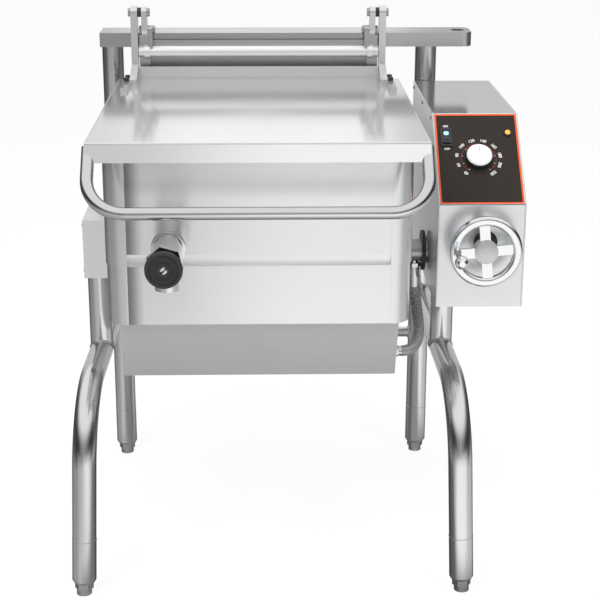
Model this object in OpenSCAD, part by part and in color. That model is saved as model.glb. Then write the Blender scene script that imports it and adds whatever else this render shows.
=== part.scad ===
// Tilting bratt pan on an open tubular stand, in millimetres.
// X runs to the right, Y to the rear, Z up. The origin is on the floor, under the middle of the whole.
// Every piece is drawn in the stand's own frame, where X = 0 lies midway between the legs,
// and origin_shift moves the whole to its origin at the end.

/* [Stand] */
// Outside diameter of the stand's tubes
tube_d = 50.8; // [45:0.1:54]
// Wall of the stand's tubes
tube_wall = 1.65; // [1.2:0.05:3]
// Rear legs' axes outside the pan's width
leg_clear = 69; // [66:1:80]
// Rear legs behind the pan's rear face
leg_behind = 89; // [87:1:105]
// Rear legs' upper ends over the pan's rim
leg_over_rim = 72; // [55:1:90]
// Front feet behind the pan's front face
foot_behind = 18; // [0:1:40]
// Level run of the bent legs under the heater cover
run_under = 31; // [28:1:45]
// Bend radius of the bent legs
bend_r = 155; // [140:1:165]
// Forward lean of the front legs in degrees
leg_lean = 3; // [2:0.5:4]
// Outward splay of the front legs in degrees
leg_splay = 2; // [1.8:0.1:3]
// Spread of the level runs towards the front in degrees
run_turn = 1; // [0.8:0.1:1.6]
// Lower cross tube under the level run
cross_drop = 110; // [80:1:160]
// Diameter of the lower cross tube
cross_tube_d = 25.4; // [20:0.1:32]

/* [Feet] */
// Outside diameter of the leg sleeves
sleeve_d = 51.4; // [51:0.1:54]
// Height of the leg sleeves' upper edge
sleeve_top = 125; // [100:1:150]
// Height of the leg sleeves' lower edge
sleeve_bottom = 27; // [20:1:32]
// Width of the hexagon feet over their corners
foot_w = 40; // [34:1:44]

/* [Rear beam] */
// Beam's left end outside the left rear leg's axis
beam_over_left = 28; // [26:1:40]
// Beam's right end outside the right rear leg's axis
beam_over_right = 108; // [95:1:125]
// Height of the beam
beam_h = 33; // [25:1:40]
// Depth of the beam
beam_depth = 96; // [80:1:105]
// Sheet thickness of the beam
beam_t = 2; // [1.5:0.1:3]
// Diameter of the tap hole
tap_hole_d = 32; // [28:0.5:36]

/* [Trunnions] */
// Tilt axis under the cooking surface
trunnion_drop = 89; // [84:1:95]
// Tilt axis before the stand's middle
trunnion_y = 40; // [30:1:50]
// Diameter of the trunnion shafts
trunnion_d = 49; // [47:0.1:50]
// Bore of the hollow right trunnion
trunnion_bore = 38; // [30:0.5:40]
// Diameter of the trunnion flanges
flange_d = 104; // [90:1:110]
// Thickness of the trunnion flanges
flange_t = 8; // [6:0.5:10]
// Width of the bearing blocks
block_w = 44; // [38:1:46]
// Depth of the bearing blocks
block_depth = 92; // [80:1:100]
// Height of the bearing blocks under and over the axis
block_rise = 38; // [36:1:42]
// Wall of the bearing bushes
bush_wall = 5; // [3:0.5:6]
// Radial running clearance of shafts in their bushes
run_fit = 0.05; // [0.02:0.01:0.09]
// Diameter of the black collar on the right trunnion
collar_d = 89; // [80:1:96]
// Thickness of the black collar
collar_t = 7; // [5:0.5:10]
// Width of the left bearing cover
cover_w = 50; // [48:1:52]
// Depth of the left bearing cover
cover_depth = 130; // [120:1:140]
// Height of the left bearing cover
cover_h = 130; // [125:1:135]
// Middle of the left bearing cover over the tilt axis
cover_up = 23; // [15:1:24]

/* [Tilt gear] */
// Teeth of the worm wheel
wheel_teeth = 40; // [40:1:40]
// Module of the worm wheel
gear_module = 2.5; // [2.5:0.1:2.5]
// Pitch radius of the worm
worm_r = 18; // [17:0.5:19]
// Width of the worm wheel's rim
wheel_w = 14; // [12:0.5:15]
// Diameter of the worm shaft
worm_shaft_d = 19; // [17:0.1:20]
// Plate thickness of the gear bracket
bracket_t = 8; // [6:0.5:10]

/* [Pan] */
// Pan's middle to the left of the stand's middle
pan_left = 26; // [24:0.5:27]
// Half the pan's width
pan_half_w = 307; // [290:1:330]
// Pan's front face before the stand's middle
pan_front = 392; // [370:1:410]
// Pan's rear face behind the stand's middle
pan_back = 283; // [265:1:300]
// Radius of the pan's upright corners
pan_corner = 45; // [30:1:55]
// Height of the pan's rim
rim_z = 985; // [950:1:1020]
// Depth of the pan
pan_depth = 233; // [200:1:260]
// Thickness of the cooking plate
cook_plate_t = 16; // [12:0.5:20]
// Wall of the pan
pan_wall = 3; // [2:0.5:4]
// Gap between pan and jacket
jacket_gap = 20; // [15:1:30]
// Sheet thickness of the jacket
jacket_t = 1.5; // [1:0.1:2]
// Jacket's lower edge under the cooking surface
jacket_drop = 142; // [135:1:150]
// Bead's lower edge under the cooking surface
bead_drop = 20; // [12:1:28]
// Height of the bead
bead_h = 25; // [18:1:28]
// Height that the bead and the corner panels stand proud
bead_proud = 2.5; // [1.5:0.1:4]
// Overhang of the rim over the jacket
rim_over = 11; // [8:0.5:14]
// Thickness of the rim
rim_t = 3; // [2:0.5:4]
// Width of the pouring lip
lip_w = 300; // [200:5:400]

/* [Heater cover] */
// Inset of the heater cover under the jacket
heater_inset = 24; // [20:1:30]
// Height of the heater cover
heater_h = 143; // [130:1:155]
// Backward slope of the heater cover's front
heater_slope = 71; // [50:1:90]
// Sheet thickness of the heater cover
heater_t = 1.5; // [1:0.1:2.5]
// Diameter of the knock-out plug
plug_d = 57; // [45:1:65]
// Diameter of the heating elements
element_d = 10; // [8:0.5:12]

/* [Draw-off valve] */
// Valve to the left of the pan's middle
valve_left = 178.5; // [150:0.5:200]
// Valve's axis over the cooking surface
valve_rise = 18.5; // [18:0.5:24]
// Diameter of the valve's level body
valve_d = 60; // [54:1:66]
// Bore of the valve's inlet
valve_bore = 36; // [30:1:37]
// Outside diameter of the valve's outlet pipe
outlet_d = 49; // [46:0.5:52]
// Bore of the valve's outlet pipe
outlet_bore = 40; // [38.5:0.5:42]
// Distance of the outlet's axis from the pan's front
valve_reach = 56; // [50:1:60]
// Outlet's lower end under the valve's axis
valve_below = 66.5; // [60:0.5:75]
// Diameter of the valve's hand knob
valve_knob_d = 72; // [66:1:80]
// Thickness of the valve's hand knob
valve_knob_t = 12; // [10:0.5:16]

/* [Lid] */
// Overhang of the lid over the pan's sides
lid_over_side = 25; // [18:1:30]
// Overhang of the lid over the pan's front
lid_over_front = 28; // [26:1:34]
// Overhang of the lid over the pan's rear
lid_over_back = 22; // [14:1:23]
// Height of the lid's skirt
lid_skirt = 39; // [30:1:45]
// Sheet thickness of the lid
lid_t = 2; // [1.5:0.1:2.5]
// Gap between the rim and the lid
lid_gap = 0.5; // [0.3:0.1:1]
// Height of the stiffening rail at the lid's rear
rail_h = 30; // [24:1:32]

/* [Lid handle] */
// Diameter of the handle's tube
handle_d = 25.4; // [22:0.1:26]
// Handle's tube over the lid's sides
handle_over_side = 8; // [4:0.5:9]
// Reach of the handle's bar before the lid
handle_reach = 72; // [60:1:80]
// Handle's bar under the pan's rim
handle_drop = 118; // [100:1:130]
// Bend radius of the handle
handle_bend = 75; // [60:1:80]

/* [Lid hinge] */
// Lid's hinge axis over the lid's top
hinge_rise = 154.5; // [145:0.5:165]
// Lid's hinge axis behind the lid's rear edge
hinge_behind = 17; // [15:0.5:19]
// Hinge arms' outer faces inside the lid's sides
arm_inset = 32; // [20:1:40]
// Thickness of the hinge arms
arm_t = 16; // [12:0.5:18]
// Width of the hinge arms
arm_w = 30; // [24:1:32]
// Length of the hinge arms' feet on the lid
arm_foot = 92; // [70:1:110]
// Reach of the hinge arms' feet before the hinge axis
ear_reach = 190; // [130:1:220]
// Gap between hinge arm and link, filled by washers
washer_gap = 9; // [7:0.5:12]
// Thickness of the hinge links
link_t = 13; // [10:0.5:16]
// Thickness of the hinge brackets' upright tongues
hinge_bracket_t = 12; // [8:0.5:14]
// Width of the hinge brackets' straps
strap_w = 26; // [20:1:26]
// Thickness of the hinge brackets' straps
strap_t = 19; // [16:1:20]
// Diameter of the hinge pins
pin_d = 12; // [10:0.5:14]
// Lower link bolts under the hinge axis
link_bolt_drop = 41; // [36:1:46]
// Diameter of the torsion tube
torsion_d = 26.7; // [24:0.1:28]
// Torsion tube under the hinge axis
torsion_drop = 92; // [86:1:98]

/* [Console] */
// Console's inner face inside the right rear leg's axis
console_inset = 30; // [27:1:36]
// Width of the console
console_w = 182; // [175:1:195]
// Console's front before the stand's middle
console_front = 238.5; // [225:0.5:250]
// Console's rear before the right rear leg's axis
console_gap = 29; // [28:1:40]
// Console's underside under the tilt axis
console_drop = 68; // [60:1:75]
// Front's upper edge over the tilt axis
kink_rise = 152; // [140:1:165]
// Console's top over the tilt axis
top_rise = 312.5; // [295:0.5:330]
// Depth of the sloping panel
slope_run = 169.5; // [160:0.5:180]
// Sheet thickness of the console
console_t = 1.5; // [1.2:0.1:2]

/* [Controls] */
// Margin of the control panel
panel_margin = 2; // [1:0.5:5]
// Thickness of the control panel
panel_t = 1.5; // [1:0.1:2.5]
// Thermostat knob's middle down the slope from the console's top
dial_down = 117.5; // [105:0.5:130]
// Diameter of the thermostat knob
dial_d = 53.5; // [45:0.5:58]
// Height of the thermostat knob
dial_h = 17; // [14:0.5:20]
// Switch's middle inside the console's left side
switch_in = 26; // [22:1:30]
// Switch's middle down the slope from the console's top
switch_down = 64; // [55:1:75]
// Width of the switch bezel
bezel_w = 24; // [22:0.5:26]
// Length of the switch bezel
bezel_l = 46; // [42:0.5:50]
// Lamp's middle inside the console's right side
lamp_in = 25; // [20:1:30]
// Lamp's middle down the slope from the console's top
lamp_down = 53; // [40:1:70]
// Diameter of the lamp
lamp_d = 16; // [12:0.5:20]

/* [Handwheel] */
// Outside diameter of the handwheel
handwheel_d = 150; // [140:1:160]
// Handwheel's middle plane before the console
handwheel_reach = 51.5; // [46:0.5:65]
// Handwheel to the right of the console's middle
worm_right = 3; // [0:1:6]
// Radial width of the handwheel's rim
rim_w = 20; // [16:0.5:24]
// Depth of the handwheel's rim
rim_depth = 17; // [12:0.5:20]
// Diameter of the handwheel's hub
hub_d = 49; // [38:1:52]
// Width of the handwheel's spokes
spoke_w = 21; // [16:0.5:24]
// Distance of the crank knob from the handwheel's axis
crank_r = 58; // [55:0.5:62]
// Turn of the spokes in degrees
spoke_turn = 5.5; // [0:0.5:45]
// Distance of the crank knob's middle from the handwheel's middle plane
crank_reach = 60; // [50:1:70]
// Diameter of the crank knob
crank_d = 28; // [22:0.5:30]

/* [Conduit] */
// Outside diameter of the flexible conduit
conduit_d = 22; // [18:0.5:24]

/* [Hidden] */
$fn = 64;
over = 1;
seat_gap = 0.3;

pan_floor = rim_z - pan_depth;
trunnion_z = pan_floor - trunnion_drop;
jacket_bottom = pan_floor - jacket_drop;
bead_z = pan_floor - bead_drop;
heater_bottom = jacket_bottom - heater_h;
lid_half_w = pan_half_w + lid_over_side;
lid_front = pan_front + lid_over_front;
lid_back = pan_back + lid_over_back;
lid_top = rim_z + lid_gap + lid_t;
hinge_y = lid_back + hinge_behind;
hinge_z = lid_top + hinge_rise;
arm_x = lid_half_w - arm_inset;
link_bolt_z = hinge_z - link_bolt_drop;
torsion_z = hinge_z - torsion_drop;

tube_r = tube_d / 2;
bore_r = tube_r - tube_wall;
rear_leg_x = pan_half_w + leg_clear;
rear_leg_y = pan_back + leg_behind;
rear_leg_top = rim_z + leg_over_rim;
front_foot_y = pan_front - foot_behind;
run_z = heater_bottom - run_under;
cross_tube_z = run_z - cross_drop;
sleeve_r = sleeve_d / 2;
run_drop = bend_r * (1 - sin(leg_lean));
leg_len = (run_z / cos(leg_splay) - run_drop) / cos(leg_lean);
foot_span = (rear_leg_y + front_foot_y) / cos(run_turn);
run_len = foot_span - bend_r * cos(leg_lean) - leg_len * sin(leg_lean);
upright_x = rear_leg_x + (rear_leg_y + trunnion_y) * tan(run_turn);
upright_top = trunnion_z - block_rise;
front_foot_x = rear_leg_x + foot_span * sin(run_turn) + run_z * tan(leg_splay) * cos(run_turn);

beam_left = rear_leg_x + beam_over_left;
beam_right = rear_leg_x + beam_over_right;
beam_front_y = rear_leg_y - tube_r;
beam_back_y = beam_front_y + beam_depth;
sleeve_edge = 6;
x_left = front_foot_x - (sleeve_bottom + sleeve_edge) * tan(leg_splay) + sleeve_r;
console_left = rear_leg_x - console_inset;
console_back = rear_leg_y - console_gap;
x_right = console_left + console_w;
boss_reach = 39;
bonnet_h = 21;
gland_h = 20;
knob_gap = 5;
knob_seat = boss_reach + bonnet_h + gland_h + knob_gap;
y_front = pan_front + valve_reach + knob_seat + valve_knob_t;
origin_shift = [(x_left - x_right) / 2, (y_front - beam_back_y) / 2, 0];

pan_x = -pan_left;
lower_half_w = pan_half_w - bead_proud;
trunnion_r = trunnion_d / 2;
bush_r = trunnion_r + run_fit;
bush_out_r = bush_r + bush_wall;

pitch = PI * gear_module;
wheel_r = wheel_teeth * gear_module / 2;
worm_z = trunnion_z + wheel_r + worm_r;
console_x = console_left + console_w / 2;
switch_left = console_w / 2 - switch_in;
lamp_right = console_w / 2 - lamp_in;
worm_x = console_x + worm_right;
worm_shaft_r = worm_shaft_d / 2;
handwheel_y = -(console_front + handwheel_reach);

console_bottom = trunnion_z - console_drop;
kink_z = trunnion_z + kink_rise;
console_top = trunnion_z + top_rise;
slope_rise = console_top - kink_z;
slope_deg = atan2(slope_rise, slope_run);
slope_len = norm([slope_run, slope_rise]);
dial_up = slope_len - dial_down;
switch_up = slope_len - switch_down;
lamp_up = slope_len - lamp_down;

handle_r = handle_d / 2;
handle_half_w = lid_half_w + handle_over_side;
handle_z = rim_z - handle_drop;
handle_y = -(lid_front + handle_reach);
valve_x = pan_x - valve_left;
valve_y = -(pan_front + valve_reach);
valve_z = pan_floor + valve_rise;

// Moves everything to the origin on the floor
module place() translate(origin_shift) children();

// Draws the children on the right, or mirrored on the left
module on_side(side) mirror([side < 0 ? 1 : 0, 0, 0]) children();

// Mirrors the children about the pan's middle
module pan_pair() {
    translate([pan_x, 0, 0]) {
        children();
        mirror([1, 0, 0]) children();
    }
}

// Cylinder along X between two places
module rod_x(r, x0, x1) translate([x0, 0, 0]) rotate([0, 90, 0]) cylinder(r = r, h = x1 - x0);

// Cylinder along Y between two places
module rod_y(r, y0, y1) translate([0, y0, 0]) rotate([-90, 0, 0]) cylinder(r = r, h = y1 - y0);

// Cutter for a round hole through a height
module bore(r, h) translate([0, 0, -over]) cylinder(r = r, h = h + 2 * over);

// Block between two corners
module block(low, high) translate(low) cube(high - low);

// Rectangle with round corners between two corners
module round_rect(low, high, r) {
    translate([low[0] + r, low[1]]) square([high[0] - low[0] - 2 * r, high[1] - low[1]]);
    translate([low[0], low[1] + r]) square([high[0] - low[0], high[1] - low[1] - 2 * r]);
    for (x = [low[0] + r, high[0] - r])
        for (y = [low[1] + r, high[1] - r])
            translate([x, y]) circle(r = r);
}

// Upright wall that follows the pan's outline, inset by a distance
module pan_wall_ring(inset, wall, z0, z1) {
    translate([pan_x, 0, z0])
        linear_extrude(z1 - z0)
            difference() {
                pan_outline(inset);
                pan_outline(inset + wall);
            }
}

// The pan's outline in plan, inset by a distance
module pan_outline(inset) {
    round_rect(
        [-pan_half_w + inset, -pan_front + inset],
        [pan_half_w - inset, pan_back - inset],
        pan_corner - min(inset, pan_corner / 2));
}

// Stand

// Moves to the level run of the right bent leg, its start on the rear leg's axis
module run_frame() {
    translate([rear_leg_x, rear_leg_y, run_z])
        rotate([0, 0, run_turn])
            rotate([0, -leg_splay, 0])
                children();
}

// Moves to the floor point of the right bent leg, with Z up along the leg
module leg_frame() {
    run_frame()
        translate([0, -run_len - bend_r * cos(leg_lean), -run_drop])
            rotate([-leg_lean, 0, 0])
                translate([0, 0, -leg_len])
                    children();
}

// Round bar along the bent leg's path: level run, bend, and leg down to a height
module bent_bar(r, low) {
    run_frame() {
        rod_y(r, -run_len, -tube_wall);
        translate([0, -run_len, -bend_r])
            rotate([0, -90, 180])
                rotate_extrude(angle = 90 - leg_lean)
                    translate([bend_r, 0])
                        circle(r = r);
    }
    leg_frame() translate([0, 0, low]) cylinder(r = r, h = leg_len - low);
}

module bent_leg() {
    difference() {
        bent_bar(tube_r, sleeve_top);
        bent_bar(bore_r, sleeve_top - over);
        translate([rear_leg_x, rear_leg_y, 0]) cylinder(r = tube_r, h = rear_leg_top);
    }
    leg_frame()
        translate([0, 0, leg_len - tube_wall])
            difference() {
                cylinder(r = tube_r - tube_wall / 2, h = 2 * tube_wall);
                bore(bore_r - tube_wall / 2, 2 * tube_wall);
            }
}

module left_front_leg() color("silver") place() on_side(-1) bent_leg();

module right_front_leg() color("silver") place() on_side(1) bent_leg();

module rear_leg() {
    translate([rear_leg_x, rear_leg_y, sleeve_top])
        difference() {
            cylinder(r = tube_r, h = rear_leg_top - sleeve_top);
            translate([0, 0, -over]) cylinder(r = bore_r, h = rear_leg_top);
        }
}

module left_rear_leg() color("silver") place() on_side(-1) rear_leg();

module right_rear_leg() color("silver") place() on_side(1) rear_leg();

// Short post that stands on the level run and carries a bearing block
module upright() {
    low = run_z + 2 * tube_wall;
    difference() {
        translate([upright_x, -trunnion_y, low]) cylinder(r = tube_r, h = upright_top - low);
        translate([upright_x, -trunnion_y, run_z - over]) cylinder(r = bore_r, h = upright_top);
        run_frame() rod_y(tube_r, -run_len, 0);
    }
    translate([upright_x, -trunnion_y, upright_top - tube_wall]) cylinder(r = bore_r, h = tube_wall);
}

module uprights()
    color("silver") place() for (side = [-1, 1])
        on_side(side) upright();

// Sleeve at a leg's foot, with a rounded lower edge, a collar inside and a threaded bore
edge_share = 0.6;
foot_stem_r = 10;
module sleeve() {
    difference() {
        union() {
            translate([0, 0, sleeve_bottom + sleeve_edge])
                cylinder(r = sleeve_r, h = sleeve_top - sleeve_bottom - sleeve_edge);
            translate([0, 0, sleeve_bottom])
                cylinder(r1 = sleeve_r - sleeve_edge * edge_share, r2 = sleeve_r, h = sleeve_edge);
        }
        translate([0, 0, sleeve_bottom - over]) cylinder(r = foot_stem_r, h = sleeve_top);
    }
}

module leg_sleeves() {
    color("gainsboro") place() for (side = [-1, 1])
        on_side(side) {
            leg_frame() sleeve();
            translate([rear_leg_x, rear_leg_y, 0]) sleeve();
        }
}

// Hexagon foot with a stem that screws into the sleeve, cut flat on the floor
hex_h = 14;
foot_base_share = 0.8;
stem_len = 60;
module foot() {
    translate([0, 0, sleeve_bottom - seat_gap - hex_h]) cylinder(r = foot_w / 2, h = hex_h, $fn = 6);
    translate([0, 0, -hex_h / 2])
        cylinder(r = foot_w / 2 * foot_base_share, h = sleeve_bottom - hex_h / 2);
    translate([0, 0, sleeve_bottom - hex_h]) cylinder(r = foot_stem_r - seat_gap, h = stem_len);
}

module levelling_feet() {
    color("dimgray") place() for (side = [-1, 1])
        on_side(side) difference() {
            union() {
                leg_frame() foot();
                translate([rear_leg_x, rear_leg_y, 0]) foot();
            }
            block([0, -2 * rear_leg_y, -foot_w], [2 * rear_leg_x, 2 * rear_leg_y, 0]);
        }
}

module cross_tube() {
    color("silver") place() difference() {
        translate([0, rear_leg_y, cross_tube_z]) rod_x(cross_tube_d / 2, -rear_leg_x, rear_leg_x);
        translate([0, rear_leg_y, cross_tube_z])
            rod_x(cross_tube_d / 2 - tube_wall, -rear_leg_x - over, rear_leg_x + over);
        for (side = [-1, 1])
            translate([side * rear_leg_x, rear_leg_y, sleeve_top])
                cylinder(r = tube_r, h = rear_leg_top);
    }
}

// Folded channel, open below, on top of the rear legs, with a tap hole at its right end
beam_corner_r = 22;
tap_inset_x = 30;
module rear_beam() {
    low = [-beam_left, beam_front_y];
    high = [beam_right, beam_back_y];
    tap_x = beam_right - tap_inset_x;
    tap_y = beam_front_y + beam_depth / 2;
    color("gainsboro") place() difference() {
        translate([0, 0, rear_leg_top]) linear_extrude(beam_h) beam_outline(low, high);
        translate([0, 0, rear_leg_top - over])
            linear_extrude(beam_h - beam_t + over)
                beam_outline(low + [beam_t, beam_t], high - [beam_t, beam_t]);
        translate([tap_x, tap_y, rear_leg_top]) cylinder(r = tap_hole_d / 2, h = beam_h + over);
    }
    color("gainsboro") place() for (side = [-1, 1])
        translate([side * rear_leg_x, rear_leg_y, rear_leg_top])
            beam_pad(side);
}

// Flat pad inside the beam that closes a leg's end and is bolted to it
pad_w = 70;
module beam_pad(side) {
    translate([max(-pad_w / 2, side < 0 ? -beam_left + rear_leg_x + beam_t : -pad_w / 2), -tube_r + beam_t, 0])
        cube([min(pad_w, beam_left - rear_leg_x - beam_t + pad_w / 2), beam_depth - 2 * beam_t, beam_h - beam_t]);
}

module beam_outline(low, high) {
    difference() {
        translate(low) square(high - low);
        for (y = [low[1], high[1]])
            translate([high[0], y]) corner_nick(beam_corner_r, y == low[1] ? 1 : -1);
    }
}

// What a rounded corner takes off a square one
module corner_nick(r, up) {
    difference() {
        translate([-r, up > 0 ? -over : -r]) square([r + over, r + over]);
        translate([-r, up * r]) circle(r = r);
    }
}

// Trunnion bearings

module bearing_block_body() {
    difference() {
        block(
            [upright_x - block_w / 2, -trunnion_y - block_depth / 2, upright_top],
            [upright_x + block_w / 2, -trunnion_y + block_depth / 2, trunnion_z + block_rise]);
        translate([0, -trunnion_y, trunnion_z])
            rod_x(bush_out_r, upright_x - block_w, upright_x + block_w);
    }
}

module bearing_blocks() {
    color("darkgray") place() for (side = [-1, 1])
        on_side(side) bearing_block_body();
}

module bearing_bushes() {
    color("peru") place() for (side = [-1, 1])
        on_side(side) translate([0, -trunnion_y, trunnion_z])
            difference() {
                rod_x(bush_out_r, upright_x - block_w / 2, upright_x + block_w / 2);
                rod_x(bush_r, upright_x - block_w, upright_x + block_w);
            }
}

// Sheet box over the left bearing, open below and slotted for the shaft
module left_bearing_cover() {
    x0 = -upright_x - cover_w / 2;
    x1 = -upright_x + cover_w / 2;
    y0 = -trunnion_y - cover_depth / 2;
    y1 = -trunnion_y + cover_depth / 2;
    z1 = trunnion_z + cover_up + cover_h / 2;
    z0 = z1 - cover_h;
    slot_r = trunnion_r + 2 * console_t;
    color("lightgray") place() difference() {
        block([x0, y0, z0], [x1, y1, z1]);
        block([x0 + console_t, y0 + console_t, z0 - over],
            [x1 - console_t, y1 - console_t, z1 - console_t]);
        translate([0, -trunnion_y, trunnion_z]) rod_x(slot_r, -upright_x, x1 + over);
        block([-upright_x, -trunnion_y - slot_r, z0 - over], [x1 + over, -trunnion_y + slot_r, trunnion_z]);
        translate([-upright_x, -trunnion_y, z0 - over])
            cylinder(r = tube_r + seat_gap, h = upright_top - z0 + over);
    }
    color("lightgray") place() for (y = [y0 + console_t, -trunnion_y + block_depth / 2])
        block([-upright_x - block_w / 2, y, trunnion_z + bush_r],
            [-upright_x + block_w / 2, y + (cover_depth - block_depth) / 2 - console_t,
                trunnion_z + block_rise]);
}

// Tilt gear

// Steel bracket on the right bearing block with two lugs for the worm shaft
lug_t = 12;
lug_reach = 46;
module gear_bracket() {
    x0 = upright_x + block_w / 2;
    y0 = -trunnion_y - lug_reach - lug_t;
    y1 = -trunnion_y + lug_reach + lug_t;
    lug_x = worm_x + worm_shaft_d + bush_wall;
    color("slategray") place() difference() {
        union() {
            block([x0, y0, trunnion_z - block_rise], [x0 + bracket_t, y1, worm_z + worm_shaft_d]);
            for (y = [y0, y1 - lug_t])
                block([x0, y, worm_z - worm_shaft_d], [lug_x, y + lug_t, worm_z + worm_shaft_d]);
        }
        translate([0, -trunnion_y, trunnion_z]) rod_x(bush_out_r, x0 - over, x0 + bracket_t + over);
        translate([worm_x, 0, worm_z]) rod_y(worm_shaft_r + bush_wall, y0 - over, y1 + over);
    }
}

module worm_bushes() {
    color("peru") place() for (y = [-trunnion_y - lug_reach - lug_t, -trunnion_y + lug_reach])
        translate([worm_x, 0, worm_z])
            difference() {
                rod_y(worm_shaft_r + bush_wall, y, y + lug_t);
                rod_y(worm_shaft_r + run_fit, y - over, y + lug_t + over);
            }
}

// Tooth height over the pitch circle, depth under it, and half widths at the pitch circle
addendum_share = 0.9;
dedendum_share = 1.15;
addendum = gear_module * addendum_share;
dedendum = gear_module * dedendum_share;
wheel_half_share = 0.21;
worm_half_share = 0.17;
flank = tan(20);

module worm_wheel() {
    hub_w = wheel_w + 2 * bush_wall;
    half = pitch * wheel_half_share;
    color("goldenrod") place() translate([worm_x, -trunnion_y, trunnion_z])
        rotate([0, 90, 0])
            difference() {
                union() {
                    translate([0, 0, -wheel_w / 2])
                        linear_extrude(wheel_w) {
                            circle(r = wheel_r - dedendum);
                            for (i = [0 : wheel_teeth - 1])
                                rotate((i + (worm_turns + 1) / 2) * 360 / wheel_teeth)
                                    wheel_tooth(half);
                        }
                    translate([0, 0, -hub_w / 2]) cylinder(r = trunnion_r + 2 * bush_wall, h = hub_w);
                }
                translate([0, 0, -hub_w]) cylinder(r = trunnion_r, h = 2 * hub_w);
            }
}

// One straight-sided tooth that points along X from the root circle outwards
module wheel_tooth(half) {
    root = wheel_r - dedendum - addendum;
    polygon([
        [root, -half - dedendum * flank],
        [wheel_r - dedendum, -half - dedendum * flank],
        [wheel_r, -half],
        [wheel_r + addendum, -half + addendum * flank],
        [wheel_r + addendum, half - addendum * flank],
        [wheel_r, half],
        [wheel_r - dedendum, half + dedendum * flank],
        [root, half + dedendum * flank]
    ]);
}

// Radius of the worm's section at an angle from the middle of its thread
worm_root = worm_r - dedendum;
worm_tip = worm_r + addendum;
function worm_radius(a) =
    let(s = abs(a) / 360 * pitch, half = pitch * worm_half_share)
    min(worm_tip, max(worm_root, worm_r + (half - s) / flank));

worm_turns = 3;
worm_points = 20;
worm_slices = 9;
shaft_front_y = handwheel_y - rim_depth / 2;
module worm_shaft() {
    y1 = -trunnion_y + lug_reach + lug_t;
    color("lightslategray") place() translate([worm_x, 0, worm_z]) {
        rod_y(worm_shaft_r, shaft_front_y, y1 + bush_wall);
        translate([0, -trunnion_y - worm_turns * pitch / 2, 0])
            rotate([-90, 0, 0])
                rotate([0, 0, 90])
                    linear_extrude(worm_turns * pitch, twist = -360 * worm_turns,
                        slices = worm_slices * worm_turns)
                        polygon([for (i = [0 : worm_points - 1])
                            let(a = (i - worm_points / 2) * 360 / worm_points)
                            worm_radius(a) * [cos(a), sin(a)]]);
    }
}

// Pan

module pan_vessel() {
    inset = jacket_t + jacket_gap;
    inlet_r = valve_bore / 2 + valve_wall;
    color("gainsboro") place() difference() {
        translate([pan_x, 0, 0]) {
            translate([0, 0, pan_floor - cook_plate_t])
                linear_extrude(rim_z - pan_floor + cook_plate_t) pan_outline(inset);
            translate([0, 0, rim_z - rim_t]) linear_extrude(rim_t) rim_outline();
        }
        translate([pan_x, 0, pan_floor])
            linear_extrude(rim_z - pan_floor + over) pan_outline(inset + pan_wall);
        translate([valve_x, 0, valve_z]) rod_y(inlet_r, -pan_front, -pan_front + 2 * inset);
    }
}
valve_wall = 3;

// The rim's outer edge in plan, with the pouring lip at the front
lip_reach = 11;
module rim_outline() {
    pan_outline(-rim_over);
    translate([-lip_w / 2, -pan_front - rim_over - lip_reach])
        square([lip_w, lip_reach + rim_over]);
}

// The jacket's outline in plan: the front panel lies back between the round corners
module jacket_outline(inset) {
    w = pan_half_w - pan_corner;
    difference() {
        pan_outline(inset);
        translate([-w - inset, -pan_front - over])
            square([2 * (w + inset), over + bead_proud + inset]);
    }
}

module jacket_ring(inset, wall, z0, z1) {
    translate([pan_x, 0, z0])
        linear_extrude(z1 - z0)
            difference() {
                jacket_outline(inset);
                jacket_outline(inset + wall);
            }
}

module upper_jacket() {
    color("silver") place() difference() {
        jacket_ring(0, jacket_t, bead_z + bead_h, rim_z - rim_t);
        valve_inlet();
    }
}

// Way of the valve's nipple through the front walls, and the seat of its body on them
module valve_inlet() {
    translate([valve_x, 0, valve_z]) {
        rod_y(valve_bore / 2 + valve_wall, -pan_front - over, -pan_front + jacket_gap);
        rod_y(valve_d / 2, -pan_front - over, -pan_front + bead_proud);
    }
}

module lower_jacket() {
    rib_r = (pow(bead_h / 2, 2) + pow(bead_proud, 2)) / (2 * bead_proud);
    rib_y = -pan_front + 2 * bead_proud;
    w = pan_half_w - pan_corner;
    color("silver") place() difference() {
        union() {
            jacket_ring(bead_proud, jacket_t, jacket_bottom, bead_z);
            jacket_ring(0, jacket_t + bead_proud, bead_z, bead_z + bead_h);
            intersection() {
                translate([pan_x, rib_y - bead_proud + rib_r, bead_z + bead_h / 2]) rod_x(rib_r, -w, w);
                translate([pan_x, 0, 0])
                    block([-w, -pan_front, bead_z], [w, rib_y, bead_z + bead_h]);
            }
            translate([pan_x, 0, jacket_bottom])
                linear_extrude(jacket_t)
                    difference() {
                        jacket_outline(bead_proud);
                        pan_outline(heater_inset + 2 * jacket_t);
                    }
        }
        valve_inlet();
    }
}

// Side profile of the heater cover, inset by a distance
module heater_profile(t) {
    y0 = -pan_front + heater_inset;
    y1 = pan_back - heater_inset;
    side = t / cos(atan2(heater_slope, jacket_bottom - heater_bottom));
    lean = heater_slope * t / (jacket_bottom - heater_bottom);
    polygon([
        [y0 + side, jacket_bottom + (t > 0 ? over : 0)],
        [y0 + heater_slope + side - lean, heater_bottom + t],
        [y1 - t, heater_bottom + t],
        [y1 - t, jacket_bottom + (t > 0 ? over : 0)]
    ]);
}

// Moves to the lower edge of the heater cover's front, with Y up the slope and Z outwards
module heater_front() {
    translate([pan_x, -pan_front + heater_inset + heater_slope, heater_bottom])
        rotate([atan2(jacket_bottom - heater_bottom, -heater_slope), 0, 0])
            children();
}

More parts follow.
